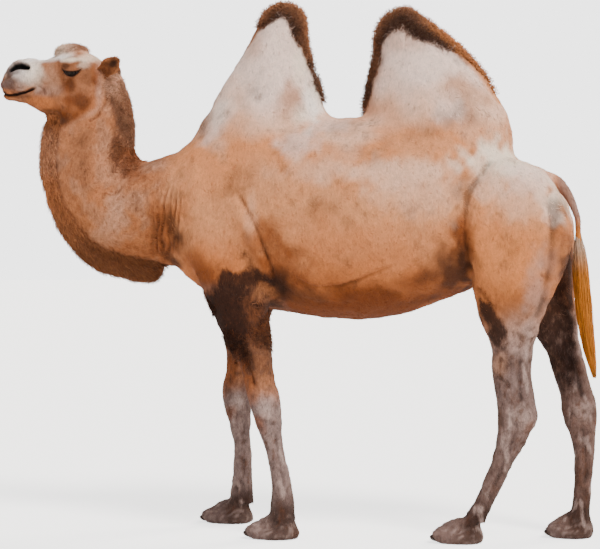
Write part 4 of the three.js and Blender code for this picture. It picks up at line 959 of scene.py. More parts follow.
def coatColour(points):
    # markings of skin and coat, worked out at a place on the body
    x, y, z = points.T
    q = legPlace(points)
    broad, middling, small, fine = markNoise(points)
    height = z + 0.03 * broad + 0.018 * middling - 0.05 * soft(x, 0.1, 0.6) * soft(z, 1.1, 1.4)
    levels = [level for level, name in trunkRamp]
    colour = np.stack([np.interp(height, levels, [inks[name][n] for level, name in trunkRamp])
                       for n in range(3)], 1)

    def paint(mask, name):
        colour[:] += np.clip(mask, 0, 1)[:, None] * (inks[name] - colour)

    def paintSpots(rows, noise, share=1):
        for at, size, name, strength in rows:
            paint(strength * spotMask(q, at, size, noise) * share, name)

    head, neck, fore, hind = bodyParts(points)
    paint(0.35 * soft(x, 0.72, 0.82) * soft(1.3 - z, 0, 0.2), "orange")
    paint(neck, "neck")
    paint(0.35 * neck * soft(middling + 0.5 * small, 0.1, 1.4), "fawn")
    paint(0.4 * neck * soft(-middling, 0.2, 1.4), "mane")
    paint(0.45 * neck * soft(1.26 - z, 0, 0.12), "umber")
    paintSpots(patches, middling + small, 1 - head)
    grey = colour.mean(1)[:, None]
    colour += 0.06 * soft(z, 1.3, 1.5)[:, None] * (grey - colour)

    # legs
    paint(fore, "shank")
    paint(hind * (1 - 0.75 * soft(z, 0.72, 0.95)), "shank")
    paint(0.55 * hind * soft(z, 0.74, 0.92), "fawn")
    paint(0.9 * fore * soft(z, 0.6, 0.72), "shank")
    paint(0.8 * fore * soft(z, 0.53, 0.64), "mane")
    paint((0.74 - 0.4 * (y > 0)) * fore * soft(z, 0.56, 0.72), "brown")
    paint(0.5 * hind * soft(0.38 - z, 0, 0.1) * (0.8 + 0.3 * small), "foot")
    paint((0.28 + 0.25 * (y > 0)) * hind * soft(0.8 - z, 0, 0.1), "brown")
    paint(0.3 * hind * soft(0.82 - z, 0, 0.1) * soft(z, 0.6, 0.68), "brown")
    paint(0.5 * fore * soft(z, 0.56, 0.66) * soft(legMiddles["foreleg_left"](z) - q[:, 0], -0.01, 0.04),
          "rust")
    paint(0.55 * fore * soft(z, 0.78, 0.86), "umber")
    paintSpots(legPatches, small, np.maximum(fore, hind))
    paintSpots(elbowPatches, small)
    paint(0.8 * soft(0.19 - z + 0.015 * small, 0, 0.1), "foot")
    middle = np.where(x < 0.45, legMiddles["foreleg_left"](z), legMiddles["hindleg_left"](z))
    paint(0.55 * soft(0.13 - z, 0, 0.05) * soft(middle - q[:, 0], 0.02, 0.1), "shank")
    paint(0.8 * swell(z, 0.1, 0.08) * soft(q[:, 0] - middle + 0.01 * small, -0.07, 0.0), "dark")
    paint(0.3 * soft(0.09 - z, 0, 0.04) * soft(-fine - 0.5 * small, 0.0, 1.8), "frost")
    paint(0.45 * np.maximum(fore, hind) * soft(fine + 0.4 * small, 0.2, 1.8), "foot")

    # head
    paint(head, "face")
    paint(0.45 * head * soft(1.84 - z + 0.2 * (x + 0.9), 0, 0.08), "amber")
    paintSpots(facePatches, 0.8 * small, head)
    paintSpots(crownPatches, small)
    # wool along the throat, the nape and the edges of the humps
    for name, tone, strength in (("mane", "mane", 0.95), ("nape", "fawn", 0.6), ("front_crest", "wool", 0.95),
                                 ("rear_crest", "wool", 0.95)):
        depth = woolFields[name](x, y, z) + woolDepth
        wide = woolReach(name, points)
        hard = 0.75 if name.endswith("crest") else 0.35
        mask = 1 - soft(depth, 0.001 + hard * wide, 0.004 + wide)
        paint(strength * mask, tone)
        if name == "mane":
            paint(0.55 * mask * soft(1.3 - z + 0.02 * middling, 0, 0.12), "brown")
            paint(0.5 * mask * soft(z, 1.62, 1.72), "throat")
            # painted shade: the band is darker where it meets the neck
            paint(0.5 * swell(depth, 0.03, 0.008), "brown")
        if name == "nape":
            paint(0.45 * mask, "wool")
            paint(0.4 * mask * soft(small + 0.5 * middling, -0.2, 1.4), "brown")
        if name.endswith("crest"):
            paint(0.45 * mask * soft(small + 0.6 * middling, -0.6, 1.2), "dark")
            paint(0.52 * mask * soft(depth, 0.1 * wide, 0.5 * wide + 0.004), "dark")
            # partly the wool's own tan, partly painted rim light along the top edge of each crest
            paint(0.7 * mask * swell(y, 0, 0.026) * soft(z, 1.9, 2.04), "tan")
    # partly the wool's own tan, partly painted rim light: tan and gold along the rear hump's back edge
    rearEdge = soft(woolDepth + 0.006 - woolFields["rear_crest"](x, y, z), 0, 0.01) * soft(x, 0.52, 0.64)
    paint(0.85 * rearEdge * swell(y, 0, 0.07), "tan")
    paint(0.25 * rearEdge, "gold")
    paintSpots(napePatches, small)
    paint(0.45 * soft(-x, 0.98, 1.02) * soft(1.72 - z, 0, 0.05) * soft(z, 1.46, 1.54), "fawn")
    # eyelids, nostrils and lips: the lids' dark rims are their own colour; the black in the eye opening and
    # in the nostril, the grey round the nostril and the dark mouth line are painted shade in those hollows
    edge = slitEdge(points)
    nearEye = soft(0.06 - np.hypot(x - eyeSlit["at"][0], z - eyeSlit["at"][1]), 0, 0.015) * (np.abs(y) > 0.06)
    for strength, inner, outer, name in ((0.7, 0.005, 0.012, "brown"), (0.92, 0.003, 0.008, "deep"),
                                         (0.98, 0.0, 0.003, "black")):
        paint(strength * nearEye * (1 - soft(edge, inner, outer)), name)
    edge = nostrilEdge(points)
    nearNose = soft(-x, 1.09, 1.11) * (np.abs(y) > 0.012)
    paint(0.75 * nearNose * (1 - soft(edge, 0.002, 0.01)), "smoke")
    paint(0.98 * nearNose * (1 - soft(edge, -0.002, 0.003)), "black")
    distance, along = lineDistance(points, mouthLine)
    paint(0.95 * head * (1 - soft(np.abs(distance), 0.003, 0.009)) * soft(1.02 - along, 0, 0.15), "dark")
    # the tail
    tail = soft(x, 1.09, 1.12) * soft(0.05 - np.abs(y), 0, 0.02) * soft(z, 1.0, 1.05)
    paint(0.85 * tail * soft(z, 1.25, 1.34), "mane")
    paint(0.7 * tail * soft(z, 1.25, 1.34), "shank")
    paint(0.25 * tail * soft(z, 1.25, 1.34) * soft(x, 1.15, 1.19), "frost")
    paint(0.8 * tail * (1 - soft(z, 1.2, 1.32)), "gold")
    return colour


def setColours(piece, colour, name="coat"):
    attribute = piece.data.color_attributes.new(name, "FLOAT_COLOR", "POINT")
    if colour.shape[1] == 3:
        colour = np.c_[colour, np.ones(len(colour))]
    attribute.data.foreach_set("color", colour.astype(np.float32).ravel())


# painted shade darkens the pressed lines, the more the deeper they are
hollowShade = 1 - 0.6 * soft(-skinLift, 0.001, 0.011)
setColours(skinPiece, coatColour(skinPoints) * hollowShade[:, None])
setColours(skinPiece, coatMarks(skinPoints, skinNormals), "marks")
print("markings")

fleshNodes = ["trunk", "hump_front", "hump_rear", "neck", "head", "tail"]
fleshNodes += [f"{leg}_{part}" for leg in legPose for part in ("upper", "lower", "foot")]


def newMaterial(name):
    material = bpy.data.materials.new(name)
    material.use_nodes = True
    material.node_tree.nodes.clear()
    return material, material.node_tree


def addNode(tree, kind, inputs=None, **settings):
    node = tree.nodes.new(kind)
    for name, value in settings.items():
        setattr(node, name, value)
    for name, value in (inputs or {}).items():
        if isinstance(value, bpy.types.NodeSocket):
            tree.links.new(value, node.inputs[name])
        else:
            node.inputs[name].default_value = value
    return node


def addMath(tree, operation, *values):
    return addNode(tree, "ShaderNodeMath", dict(enumerate(values)), operation=operation).outputs[0]


def addNoise(tree, vector, scale, detail, roughness=0.5, distortion=0.0):
    return addNode(tree, "ShaderNodeTexNoise", {
        "Vector": vector, "Scale": scale, "Detail": detail, "Roughness": roughness,
        "Distortion": distortion}).outputs["Fac"]


def addMix(tree, share, first, second):
    # the colour sockets of a mix node are its seventh and eighth
    return addNode(tree, "ShaderNodeMix", {0: share, 6: first, 7: second}, data_type="RGBA").outputs[2]


def addStretch(tree, vector, upright):
    # hair runs up and down, so the noise is drawn out along Z
    return addNode(tree, "ShaderNodeMapping", {"Vector": vector, "Scale": (1.0, 1.0, upright)}).outputs[0]


def newGroup(name, inputs, outputs):
    # sockets are given by name and kind
    group = bpy.data.node_groups.new(name, "ShaderNodeTree")
    for way, sockets in (("INPUT", inputs), ("OUTPUT", outputs)):
        for socket, kind in sockets.items():
            group.interface.new_socket(socket, in_out=way, socket_type="NodeSocket" + kind)
    return group, addNode(group, "NodeGroupInput").outputs


def makeGrainGroup():
    # short hair seen close: fine stretched noise over a coarser mottle and clumps, for colour and for bump
    group, source = newGroup("hairGrain", {"Vector": "Vector", "Fineness": "Float", "Contrast": "Float"},
                             {"Shade": "Float", "Height": "Float"})
    hair = addNoise(group, addStretch(group, source["Vector"], 0.32), source["Fineness"], 3.0, 0.6)
    mottle = addNoise(group, source["Vector"], 38.0, 5.0, 0.65)
    clump = addNoise(group, addStretch(group, source["Vector"], 0.42), 105.0, 4.0, 0.7, 0.6)
    summed = addMath(group, "MULTIPLY_ADD", clump, 1.3, addMath(group, "ADD", hair, mottle))
    centred = addMath(group, "SUBTRACT", summed, 1.65)
    shade = addMath(group, "MULTIPLY_ADD", centred, source["Contrast"], 1.0)
    fine = addMath(group, "MULTIPLY_ADD", mottle, 0.35, hair)
    height = addMath(group, "MULTIPLY_ADD", clump, 1.6, fine)
    addNode(group, "NodeGroupOutput", {"Shade": shade, "Height": height})
    return group


def makeMarksGroup():
    # the colour with its marks: each mask is pushed up and down by noise for a hairy edge, and fine dark
    # flecks are added: smoothstep(0.10, 0.90, mask + swing * (noise - 0.5))
    group, source = newGroup("coatMarks", {
        "Vector": "Vector", "Coat": "Color", "Marks": "Vector", "Dark": "Color", "Brown": "Color",
        "Pale": "Color", "Flecks": "Float"}, {"Colour": "Color"})
    stretched = addStretch(group, source["Vector"], 0.45)
    masks = addNode(group, "ShaderNodeSeparateXYZ", {0: source["Marks"]}).outputs
    colour = source["Coat"]
    for name, axis, size, swing in (("Pale", "Z", 40.0, 0.9), ("Brown", "Y", 55.0, 1.1),
                                    ("Dark", "X", 75.0, 1.1)):
        swung = addMath(group, "MULTIPLY_ADD", addNoise(group, stretched, size, 6.0, 0.72), swing, -swing / 2)
        cut = addNode(group, "ShaderNodeMapRange", {
            "Value": addMath(group, "ADD", masks[axis], swung), "From Min": 0.1, "From Max": 0.9,
            "To Max": 0.92}, interpolation_type="SMOOTHSTEP")
        colour = addMix(group, cut.outputs[0], colour, source[name])
    specks = addNode(group, "ShaderNodeMapRange", {
        "Value": addNoise(group, stretched, 95.0, 2.0), "From Min": 0.62, "From Max": 0.74, "To Max": 1.0})
    share = addMath(group, "MULTIPLY", specks.outputs[0], source["Flecks"])
    addNode(group, "NodeGroupOutput", {"Colour": addMix(group, share, colour, source["Brown"])})
    return group


grainGroup = makeGrainGroup()
marksGroup = makeMarksGroup()


def addGrain(tree, place, colour, fineness, contrast):
    # the colour with the grain's shade on it, and the grain's height
    grain = addNode(tree, "ShaderNodeGroup", {"Vector": place, "Fineness": fineness, "Contrast": contrast},
                    node_tree=grainGroup)
    shaded = addNode(tree, "ShaderNodeVectorMath", {0: colour, "Scale": grain.outputs["Shade"]},
                     operation="SCALE")
    return shaded.outputs[0], grain.outputs["Height"]


def addSurface(tree, inputs):
    shader = addNode(tree, "ShaderNodeBsdfPrincipled", inputs)
    addNode(tree, "ShaderNodeOutputMaterial", {"Surface": shader.outputs[0]})


def makeCoatMaterial(name, fineness, contrast, bump, roughness, sheen):
    material, tree = newMaterial(name)
    place = addNode(tree, "ShaderNodeTexCoord").outputs["Object"]
    coat = addNode(tree, "ShaderNodeAttribute", attribute_name="coat").outputs["Color"]
    marks = addNode(tree, "ShaderNodeAttribute", attribute_name="marks").outputs
    marked = addNode(tree, "ShaderNodeGroup", {
        "Vector": place, "Coat": coat, "Marks": marks["Vector"], "Dark": (*inks["dark"], 1),
        "Brown": (*inks["brown"], 1), "Pale": (*inks["frost"], 1), "Flecks": 0.3}, node_tree=marksGroup)
    level = addMath(tree, "MULTIPLY", marks["Alpha"], contrast)
    shaded, height = addGrain(tree, place, marked.outputs["Colour"], fineness, level)
    relief = addNode(tree, "ShaderNodeBump", {"Height": height, "Strength": bump, "Distance": 0.004})
    addSurface(tree, {"Base Color": shaded, "Roughness": roughness, "Normal": relief.outputs[0],
                      "Sheen Weight": sheen, "Sheen Roughness": 0.5, "Specular IOR Level": 0.15})
    return material


def dress(piece, material, slot, *nodes):
    piece.data.materials.append(material)
    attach(piece, "root")
    if nodes:
        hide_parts(*nodes)


skinMaterial = makeCoatMaterial("shortSummerCoat", 420.0, 0.6, 0.7, 0.85, 0.03)
dress(skinPiece, skinMaterial, "coat", *fleshNodes)


def unit(vectors):
    return vectors / np.maximum(np.linalg.norm(vectors, axis=1), 1e-9)[:, None]


def scatterRoots(mesh, count, weightOf, seed):
    # seeded places on a mesh, as close together as the weight asks, with the smooth normal at each
    mesh.calc_loop_triangles()
    corners = readAll(mesh.loop_triangles, "vertices", 3, np.int32)
    slopes = readAll(mesh.vertices, "normal", 3).astype(float)
    points = readPoints(mesh) - shift
    a, b, c = points[corners].transpose(1, 0, 2)
    area = np.linalg.norm(np.cross(b - a, c - a), axis=1) / 2
    total = np.cumsum(area * weightOf((a + b + c) / 3))
    draw = np.random.default_rng(seed)
    pick = np.searchsorted(total, draw.random(count) * total[-1])
    u, v = np.sqrt(draw.random(count)), draw.random(count)
    share = np.stack([1 - u, u * (1 - v), u * v], 1)[:, :, None]
    return (points[corners[pick]] * share).sum(1), unit((slopes[corners[pick]] * share).sum(1))


neckBend = (-0.6, 1.62)     # middle of the circle that the neck follows


def lieOf(points, normals):
    # the way that the hair lies: back over the head, down round the neck, back and down over the trunk, down
    # the legs, with a slow wander, flat on the skin
    x, y, z = points.T
    head = soft(-x, 0.82, 0.92) * soft(z, 1.72, 1.8)
    neck = soft(-x, 0.42, 0.6) * (1 - head)
    leg = soft(0.98 - z, 0, 0.18)
    bend = np.stack([neckBend[1] - z, 0 * x, x - neckBend[0]], 1)
    way = np.tile([0.62, 0.0, -0.78], (len(points), 1))
    way += leg[:, None] * ([0.08, 0, -1.0] - way)
    way += neck[:, None] * (unit(bend) - way)
    way += head[:, None] * ([0.95, 0, -0.25] - way)
    way = unit(way - normals * (way * normals).sum(1)[:, None] + 1e-4 * normals[:, [1, 2, 0]])
    side = np.cross(normals, way)
    swirl = 0.35 * waves(points, 0.2, 41) + 0.25 * waves(points, 0.05, 42)
    return unit(way * np.cos(swirl)[:, None] + side * np.sin(swirl)[:, None])


def roundLine(points, line, middleY=0.0):
    # unwrap round a line seen from the side: the place along it, and the turn about it, both from 0 to 1
    distance, along = lineDistance(points, line)
    turn = np.arctan2(points[:, 1] - middleY, distance) / (2 * math.pi) + 0.5
    return np.stack([0.01 + 0.97 * along, 0.01 + 0.97 * turn], 1)


patchSize = 0.003      # of each lock on its unwrap
floorGap = 0.0008      # under the lowest hair


def joinLocks(name, points, shades, uvs, rings, material, slot, marks=None):
    # locks of three sides, given ring by ring with the tip last, joined into one mesh of closed locks
    faces = [(0, 2, 1)]
    for k in range(rings - 1):
        for j in range(3):
            a, b = 3 * k + j, 3 * k + (j + 1) % 3
            faces += [(a, b, b + 3), (a, b + 3, a + 3)]
    faces += [(3 * rings - 3 + j, 3 * rings - 3 + (j + 1) % 3, 3 * rings) for j in range(3)]
    count, each = points.shape[:2]
    triangles = (np.arange(count)[:, None, None] * each + np.array(faces)[None]).reshape(-1, 3)
    piece = makeMesh(name, points.reshape(-1, 3), triangles)
    setColours(piece, shades.reshape(-1, 3))
    if marks is None:
        marks = np.tile([0, 0, 0, 1.0], (count, 1))
    setColours(piece, np.repeat(marks, each, 0), "marks")
    layer = piece.data.uv_layers.new(name="OFBake")
    layer.data.foreach_set("uv", uvs.reshape(-1, 2)[triangles.ravel()].astype(np.float32).ravel())
    dress(piece, material, slot)
    print(name, count, "locks,", len(triangles), "triangles")
    return piece


def makeTufts(name, roots, normals, lies, look, colours, places, material, slot, seed, marks=None):
    # each tuft is a closed three-sided lock on a bent line: root + length * (t * way - bend * t^2 * normal
    # + curl), where way is the lie tipped up by the lift; it tapers to one point
    draw = np.random.default_rng(seed)
    count, rings = len(roots), look["rings"]
    side = np.cross(normals, lies)
    turn = draw.normal(0, look["scatter"], count)[:, None]
    lies = lies * np.cos(turn) + side * np.sin(turn)
    side = np.cross(normals, lies)
    lift = (look["lift"] * draw.uniform(0.5, 1.5, count))[:, None]
    way = lies * np.cos(lift) + normals * np.sin(lift)
    length = (look["length"] * draw.uniform(1 - look["spread"], 1 + look["spread"], count))[:, None]
    width = look["width"] * draw.uniform(0.7, 1.3, count)[:, None]
    phase = draw.uniform(0, 2 * math.pi, count)[:, None]
    tone = draw.normal(1, look["mottle"], count)[:, None]
    if marks is not None:     # locks of mixed colour along the edge of a mark, and within it
        mixed = marks[:, :3] * draw.uniform(0.62, 1.06, (count, 1)) + draw.normal(0, 0.05, (count, 3))
        marks = np.c_[mixed, marks[:, 3]]
    points, shades, uvs = [], [], []
    for k, t in enumerate(np.linspace(0, 1, rings + 1)):
        wave = look["curl"] * math.sqrt(t) * length
        centre = (roots - normals * width * 0.3 + length * (t * way - look["bend"] * t * t * normals)
                  + wave * (np.sin(phase + look["turns"] * 2 * math.pi * t) * side
                            + 0.7 * np.cos(phase + look["turns"] * 2 * math.pi * t) * normals))
        # painted shade towards each tuft's root and painted light towards its tip, times the tuft's own tone
        shade = colours * tone * (look["root"] + (look["tip"] - look["root"]) * t)
        if k == rings:
            points.append(centre[:, None])
            shades.append(shade[:, None])
            uvs.append((places + [0, patchSize])[:, None])
            continue
        radius = width / 2 * (1 - t) ** 0.55
        for j in range(3):
            angle = math.pi / 2 + j * 2 * math.pi / 3
            around = side * math.cos(angle) + normals * math.sin(angle) * 0.6
            points.append((centre + radius * around)[:, None])
            shades.append(shade[:, None])
            uvs.append((places + [patchSize * (j - 1) / 2, patchSize * t])[:, None])
    points, shades, uvs = [np.concatenate(parts, 1) for parts in (points, shades, uvs)]
    points[:, :, 2] = np.maximum(points[:, :, 2], floorGap)
    return joinLocks(name, points, shades, uvs, rings, material, slot, marks)


# looks of the hair: rings along a tuft, length, spread of length, width, lift and scatter in radians, bend
# back to the skin, curl and its turns, brightness at root and tip (painted shade at the root, painted light
# at the tip), mottle from tuft to tuft
shortHair = dict(rings=2, length=0.017, spread=0.4, width=0.0026, lift=0.16, scatter=0.22, bend=0.1,
                 curl=0.04, turns=0.5, root=0.86, tip=1.1, mottle=0.1)
wool = dict(rings=3, length=0.03, spread=0.4, width=0.0038, lift=0.45, scatter=0.6, bend=0.28, curl=0.16,
            turns=1.3, root=0.6, tip=1.5, mottle=0.3)
hairLooks = {
    "short": shortHair,
    "face": dict(shortHair, length=0.009, spread=0.35, width=0.0014, scatter=0.2, root=0.88, tip=1.08),
    "leg": dict(shortHair, length=0.013, width=0.002, scatter=0.25, root=0.84, tip=1.12, mottle=0.16),
    "mane": dict(wool, length=0.038, spread=0.35, width=0.0034, lift=0.5, scatter=0.3, bend=0.3, curl=0.07,
                 turns=0.8, root=0.74, tip=1.18, mottle=0.22),
    "nape": dict(wool, length=0.026, width=0.0028, scatter=0.55, bend=0.25, curl=0.12, turns=1.0, root=0.72,
                 tip=1.2, mottle=0.22),
    "crest": dict(wool, length=0.032, width=0.004, lift=0.85, scatter=1.6, bend=0.3, curl=0.2, root=0.5,
                  tip=1.3, mottle=0.18),
    "arm": wool,
    "knot": dict(wool, length=0.024, width=0.0024, lift=0.55, scatter=1.0, bend=0.25, curl=0.14, turns=1.2,
                 root=0.65, tip=1.25, mottle=0.14),
    "ear": dict(shortHair, length=0.013, spread=0.35, width=0.0016, lift=0.28, scatter=0.4, root=0.88,
                tip=1.08, mottle=0.14),
}

trunkLine = [(-0.5, 1.38), (1.12, 1.36)]
neckLine = [(row[0], row[1]) for row in neckRows]
headLine = [(-1.27, 1.875), (-0.78, 1.915)]
legLines = {name: [(x, row[0]) for row, x in zip(pose["table"], pose["x"])] for name, pose in legPose.items()}


def woolWeight(name, depth=0.004):
    # where the skin is the top of the dense wool of that name
    return lambda points: soft(depth - (woolFields[name](*points.T) + woolDepth), 0, 0.35 * depth + 0.004)


def crestWeight(name):
    def weight(points):
        wide = woolReach(name, points)
        return soft(1.1 * wide - (woolFields[name](*points.T) + woolDepth), 0, 0.35 * wide + 0.004)
    return weight


def woolAnywhere(points):
    return soft(woolCore(*points.T), 0.0, 0.012)      # 0 on the wool, 1 on the short coat


def onHead(points):
    return soft(-points[:, 0], 0.79, 0.82) * soft(points[:, 2] - 0.45 * (points[:, 0] + 0.9), 1.7, 1.73)


def onNeck(points):
    return soft(-points[:, 0], 0.46, 0.54) * (1 - onHead(points))


def onLegs(points):
    return soft(0.94 - points[:, 2], 0, 0.06) * np.where(
        (points[:, 0] > 0.13) & (points[:, 0] < 0.7), 0, 1) * soft(points[:, 2], 0.012, 0.03)


def bodyWeight(side):
    def weight(points):
        return ((1 - onHead(points)) * (1 - onNeck(points)) * (1 - onLegs(points)) * woolAnywhere(points)
                * (side * points[:, 1] > 0))
    return weight


def napeWeight(points):
    bend = spotMask(np.abs(points) * [-1, 1, 1], (-0.7, 0.0, 1.575), (0.06, 0.15, 0.1), 0)
    return np.maximum(woolWeight("nape", 0.02)(points), 0.7 * bend)


def keepOffHoles(points):
    eyeHole = soft(slitEdge(points), 0.001, 0.004)
    noseHole = soft(nostrilEdge(points), 0.0, 0.004)
    mouth = soft(np.abs(lineDistance(points, mouthLine)[0]), 0.003, 0.006)
    eyeHole = np.where(np.hypot(points[:, 0] - eyeAt[0], points[:, 2] - eyeAt[2]) < 0.035, eyeHole, 1)
    return eyeHole * noseHole * mouth


# piece: look, how many, weight, line that its unwrap turns about and that line's y, slot
coats = {
    "coat_body_left": ("short", 11500, bodyWeight(-1), trunkLine, 0, "coat"),
    "coat_body_right": ("short", 11500, bodyWeight(1), trunkLine, 0, "coat"),
    "coat_neck": ("short", 11000, lambda p: onNeck(p) * woolAnywhere(p), neckLine, 0, "coat"),
    "coat_head": ("face", 14000, lambda p: onHead(p) * woolAnywhere(p) * keepOffHoles(p), headLine, 0,
                  "face_coat"),
    "mane_wool": ("mane", 12000, woolWeight("mane", 0.03), neckLine, 0, "coat"),
    "nape_wool": ("nape", 6500, napeWeight, neckLine, 0, "coat"),
    "crest_front": ("crest", 6000, crestWeight("front_crest"), trunkLine, 0, "coat"),
    "crest_rear": ("crest", 9000, crestWeight("rear_crest"), trunkLine, 0, "coat"),
    "topknot": ("knot", 3000, woolWeight("topknot"), headLine, 0, "face_coat"),
    "arm_wool_left": ("arm", 5000, woolWeight("arm_left"), legLines["foreleg_left"], -0.2, "dark_wool"),
    "arm_wool_right": ("arm", 5000, woolWeight("arm_right"), legLines["foreleg_right"], 0.2, "dark_wool"),
}
for leg, pose in legPose.items():
    def legWeight(points, leg=leg, pose=pose):
        front = points[:, 0] < 0.4
        return (onLegs(points) * woolAnywhere(points) * (pose["side"] * points[:, 1] > 0)
                * (front if leg.startswith("fore") else ~front))
    coats["coat_" + leg] = ("leg", 3800, legWeight, legLines[leg], pose["side"] * 0.18, "leg_coat")


hairMaterial = makeCoatMaterial("hairTufts", 300.0, 0.4, 0.15, 0.8, 0.04)


def growCoats():
    for number, (name, (look, count, weightOf, line, middleY, slot)) in enumerate(coats.items()):
        roots, normals = scatterRoots(skinPiece.data, count, weightOf, 100 + number)
        lies = lieOf(roots, normals)
        if look == "mane":      # the throat's wool hangs, and lies a little away from the band's edge
            lies = lies * 0.5 + [0.2, 0, -0.8]
            lies = unit(lies - normals * (lies * normals).sum(1)[:, None] * 0.9)
        colours = coatColour(roots)
        makeTufts(name, roots, normals, lies, hairLooks[look], colours, roundLine(roots, line, middleY),
                  hairMaterial, slot, 200 + number, coatMarks(roots, normals))


growCoats()

tassel = dict(count=2400, rings=6, top=1.262, bottom=0.86, end=0.658, length=0.3, radius=0.0015, seed=77)
tasselPath = [
    (1.19, 1.262), (1.196, 1.15), (1.203, 1.06), (1.212, 0.96), (1.222, 0.87), (1.236, 0.78), (1.25, 0.71),
    (1.259, 0.655),
]
tasselWidths = [0.017, 0.027, 0.032, 0.033, 0.03, 0.024, 0.015, 0.006]


def makeTassel():
    # long strands along the tail: each follows the tassel's path from its own height at its own share of the
    # tassel's width, and draws in to a point
    draw = np.random.default_rng(tassel["seed"])
    heights, xs = [z for x, z in tasselPath][::-1], [x for x, z in tasselPath][::-1]
    pathX, wide = curve(heights, xs), curve(heights, tasselWidths[::-1])
    count, rings = tassel["count"], tassel["rings"]
    start = tassel["top"] - (tassel["top"] - tassel["bottom"]) * draw.random(count) ** 1.3
    length = tassel["length"] * draw.uniform(0.6, 1.25, count)
    length = np.minimum(length, start - tassel["end"])
    angle, share = draw.uniform(0, 2 * math.pi, count), np.sqrt(draw.random(count))
    sway, phase = draw.uniform(0, 0.0035, count), draw.uniform(0, 2 * math.pi, count)
    tone = draw.normal(1, 0.24, count)
    places = np.stack([0.02 + 0.95 * (start - 0.65) / 0.65, 0.02 + 0.95 * angle / (2 * math.pi)], 1)
    points, shades, uvs = [], [], []
    for k in range(rings + 1):
        t = k / rings
        z = start - length * t
        reach = wide(z) * share * (0.35 + 0.65 * min(1, 3 * t))
        swing = sway * np.sin(phase + 5 * t)
        x = pathX(z) + reach * np.cos(angle) + swing
        y = reach * np.sin(angle) + 0.7 * swing
        warm = (0.25 + 0.75 * soft(1.23 - z, 0.0, 0.16))[:, None]
        # each strand is darker towards its root: painted shade within the tassel
        shade = (inks["cream"] * 0.8 * (1 - warm) + inks["gold"] * warm) * (tone * (0.72 + 0.34 * t))[:, None]
        around = 1 if k == rings else 3
        radius = tassel["radius"] * (1 - t) ** 0.5
        for j in range(around):
            turn = j * 2 * math.pi / 3
            dx, dy = (0, 0) if around == 1 else (radius * math.cos(turn), -radius * math.sin(turn))
            points.append(np.stack([x + dx, y + dy, z], 1)[:, None])
            shades.append(shade[:, None])
            uvs.append((places + [patchSize * (j - 1) / 2, patchSize * t])[:, None])
    points, shades, uvs = [np.concatenate(parts, 1) for parts in (points, shades, uvs)]
    return joinLocks("tail_strands", points, shades, uvs, rings, hairMaterial, "tassel")


tasselPiece = makeTassel()
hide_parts("tail_tassel")


def gridFaces(rows, around):
    # quads of a grid of rows by points around, joined at the seam
    i, j = np.meshgrid(np.arange(rows - 1), np.arange(around), indexing="ij")
    k = (j + 1) % around
    corners = [i * around + j, i * around + k, (i + 1) * around + k, (i + 1) * around + j]
    return np.stack(corners, 2).reshape(-1, 4)


def capPoles(piece):
    # the two end rings are drawn to a point each, and their doubles are merged
    def merge(work):
        bmesh.ops.remove_doubles(work, verts=work.verts, dist=1e-6)
        bmesh.ops.recalc_face_normals(work, faces=work.faces)
    editMesh(piece.data, merge)
    piece.data.polygons.foreach_set("use_smooth", np.full(len(piece.data.polygons), True))


eyeBall = dict(depth=0.0745, radius=0.0255, rings=40, round=64, gaze=(-0.3, 0.95, -0.06), iris=0.62,
               pupil=(0.34, 0.17))


def makeEye(hand, side):
    # a ball with its pole on the gaze; the iris stands out a little, as the cornea does
    gaze = unit(np.array([eyeBall["gaze"]]) * [1, side, 1])[0]
    across = unit(np.cross(gaze, [[0, 0, 1.0]]))[0]
    above = np.cross(across, gaze)
    tilt = np.linspace(0, math.pi, eyeBall["rings"])[:, None]
    turn = np.linspace(0, 2 * math.pi, eyeBall["round"], endpoint=False)[None]
    out = 1 + 0.06 * np.exp(-(tilt / 0.55) ** 2)
    ball = ((np.sin(tilt) * np.cos(turn) * out)[..., None] * across
            + (np.sin(tilt) * np.sin(turn) * out)[..., None] * above
            + (np.cos(tilt) * out + 0 * turn)[..., None] * gaze)
    centre = np.array([eyeAt[0], side * eyeBall["depth"], eyeAt[2]])
    piece = makeMesh(f"eyeball_{hand}", (centre + eyeBall["radius"] * ball).reshape(-1, 3),
                     gridFaces(eyeBall["rings"], eyeBall["round"]))
    capPoles(piece)
    local = unit(readPoints(piece.data) - shift - centre)
    u, v, w = local @ across, local @ above, local @ gaze
    reach = np.hypot(u, v) + (w < 0) * 2
    angle = np.arctan2(v, u)
    streaks = 0.5 + 0.5 * np.sin(angle * 37 + 3 * np.sin(angle * 5))
    pupil = 1 - soft(np.hypot(u / eyeBall["pupil"][0], v / eyeBall["pupil"][1]), 0.92, 1.06)
    colour = np.tile(inks["eyeWhite"], (len(u), 1))
    iris = 1 - soft(reach, eyeBall["iris"] - 0.04, eyeBall["iris"])
    tint = inks["irisDark"] + (inks["iris"] - inks["irisDark"]) * (streaks * soft(reach, 0.15, 0.5))[:, None]
    colour += iris[:, None] * (tint - colour)
    rim = swell(reach, eyeBall["iris"], 0.06)[:, None]
    colour += 0.85 * rim * (inks["black"] - colour)
    colour += pupil[:, None] * (inks["black"] * 0.4 - colour)
    setColours(piece, colour)
    dress(piece, eyeMaterial, "eye", f"eye_{hand}")


lashes = dict(count=70, seed=81)
lashLook = dict(rings=4, length=0.021, spread=0.25, width=0.0011, lift=0.12, scatter=0.1, bend=-0.18,
                curl=0.0, turns=0, root=1, tip=1, mottle=0.1)


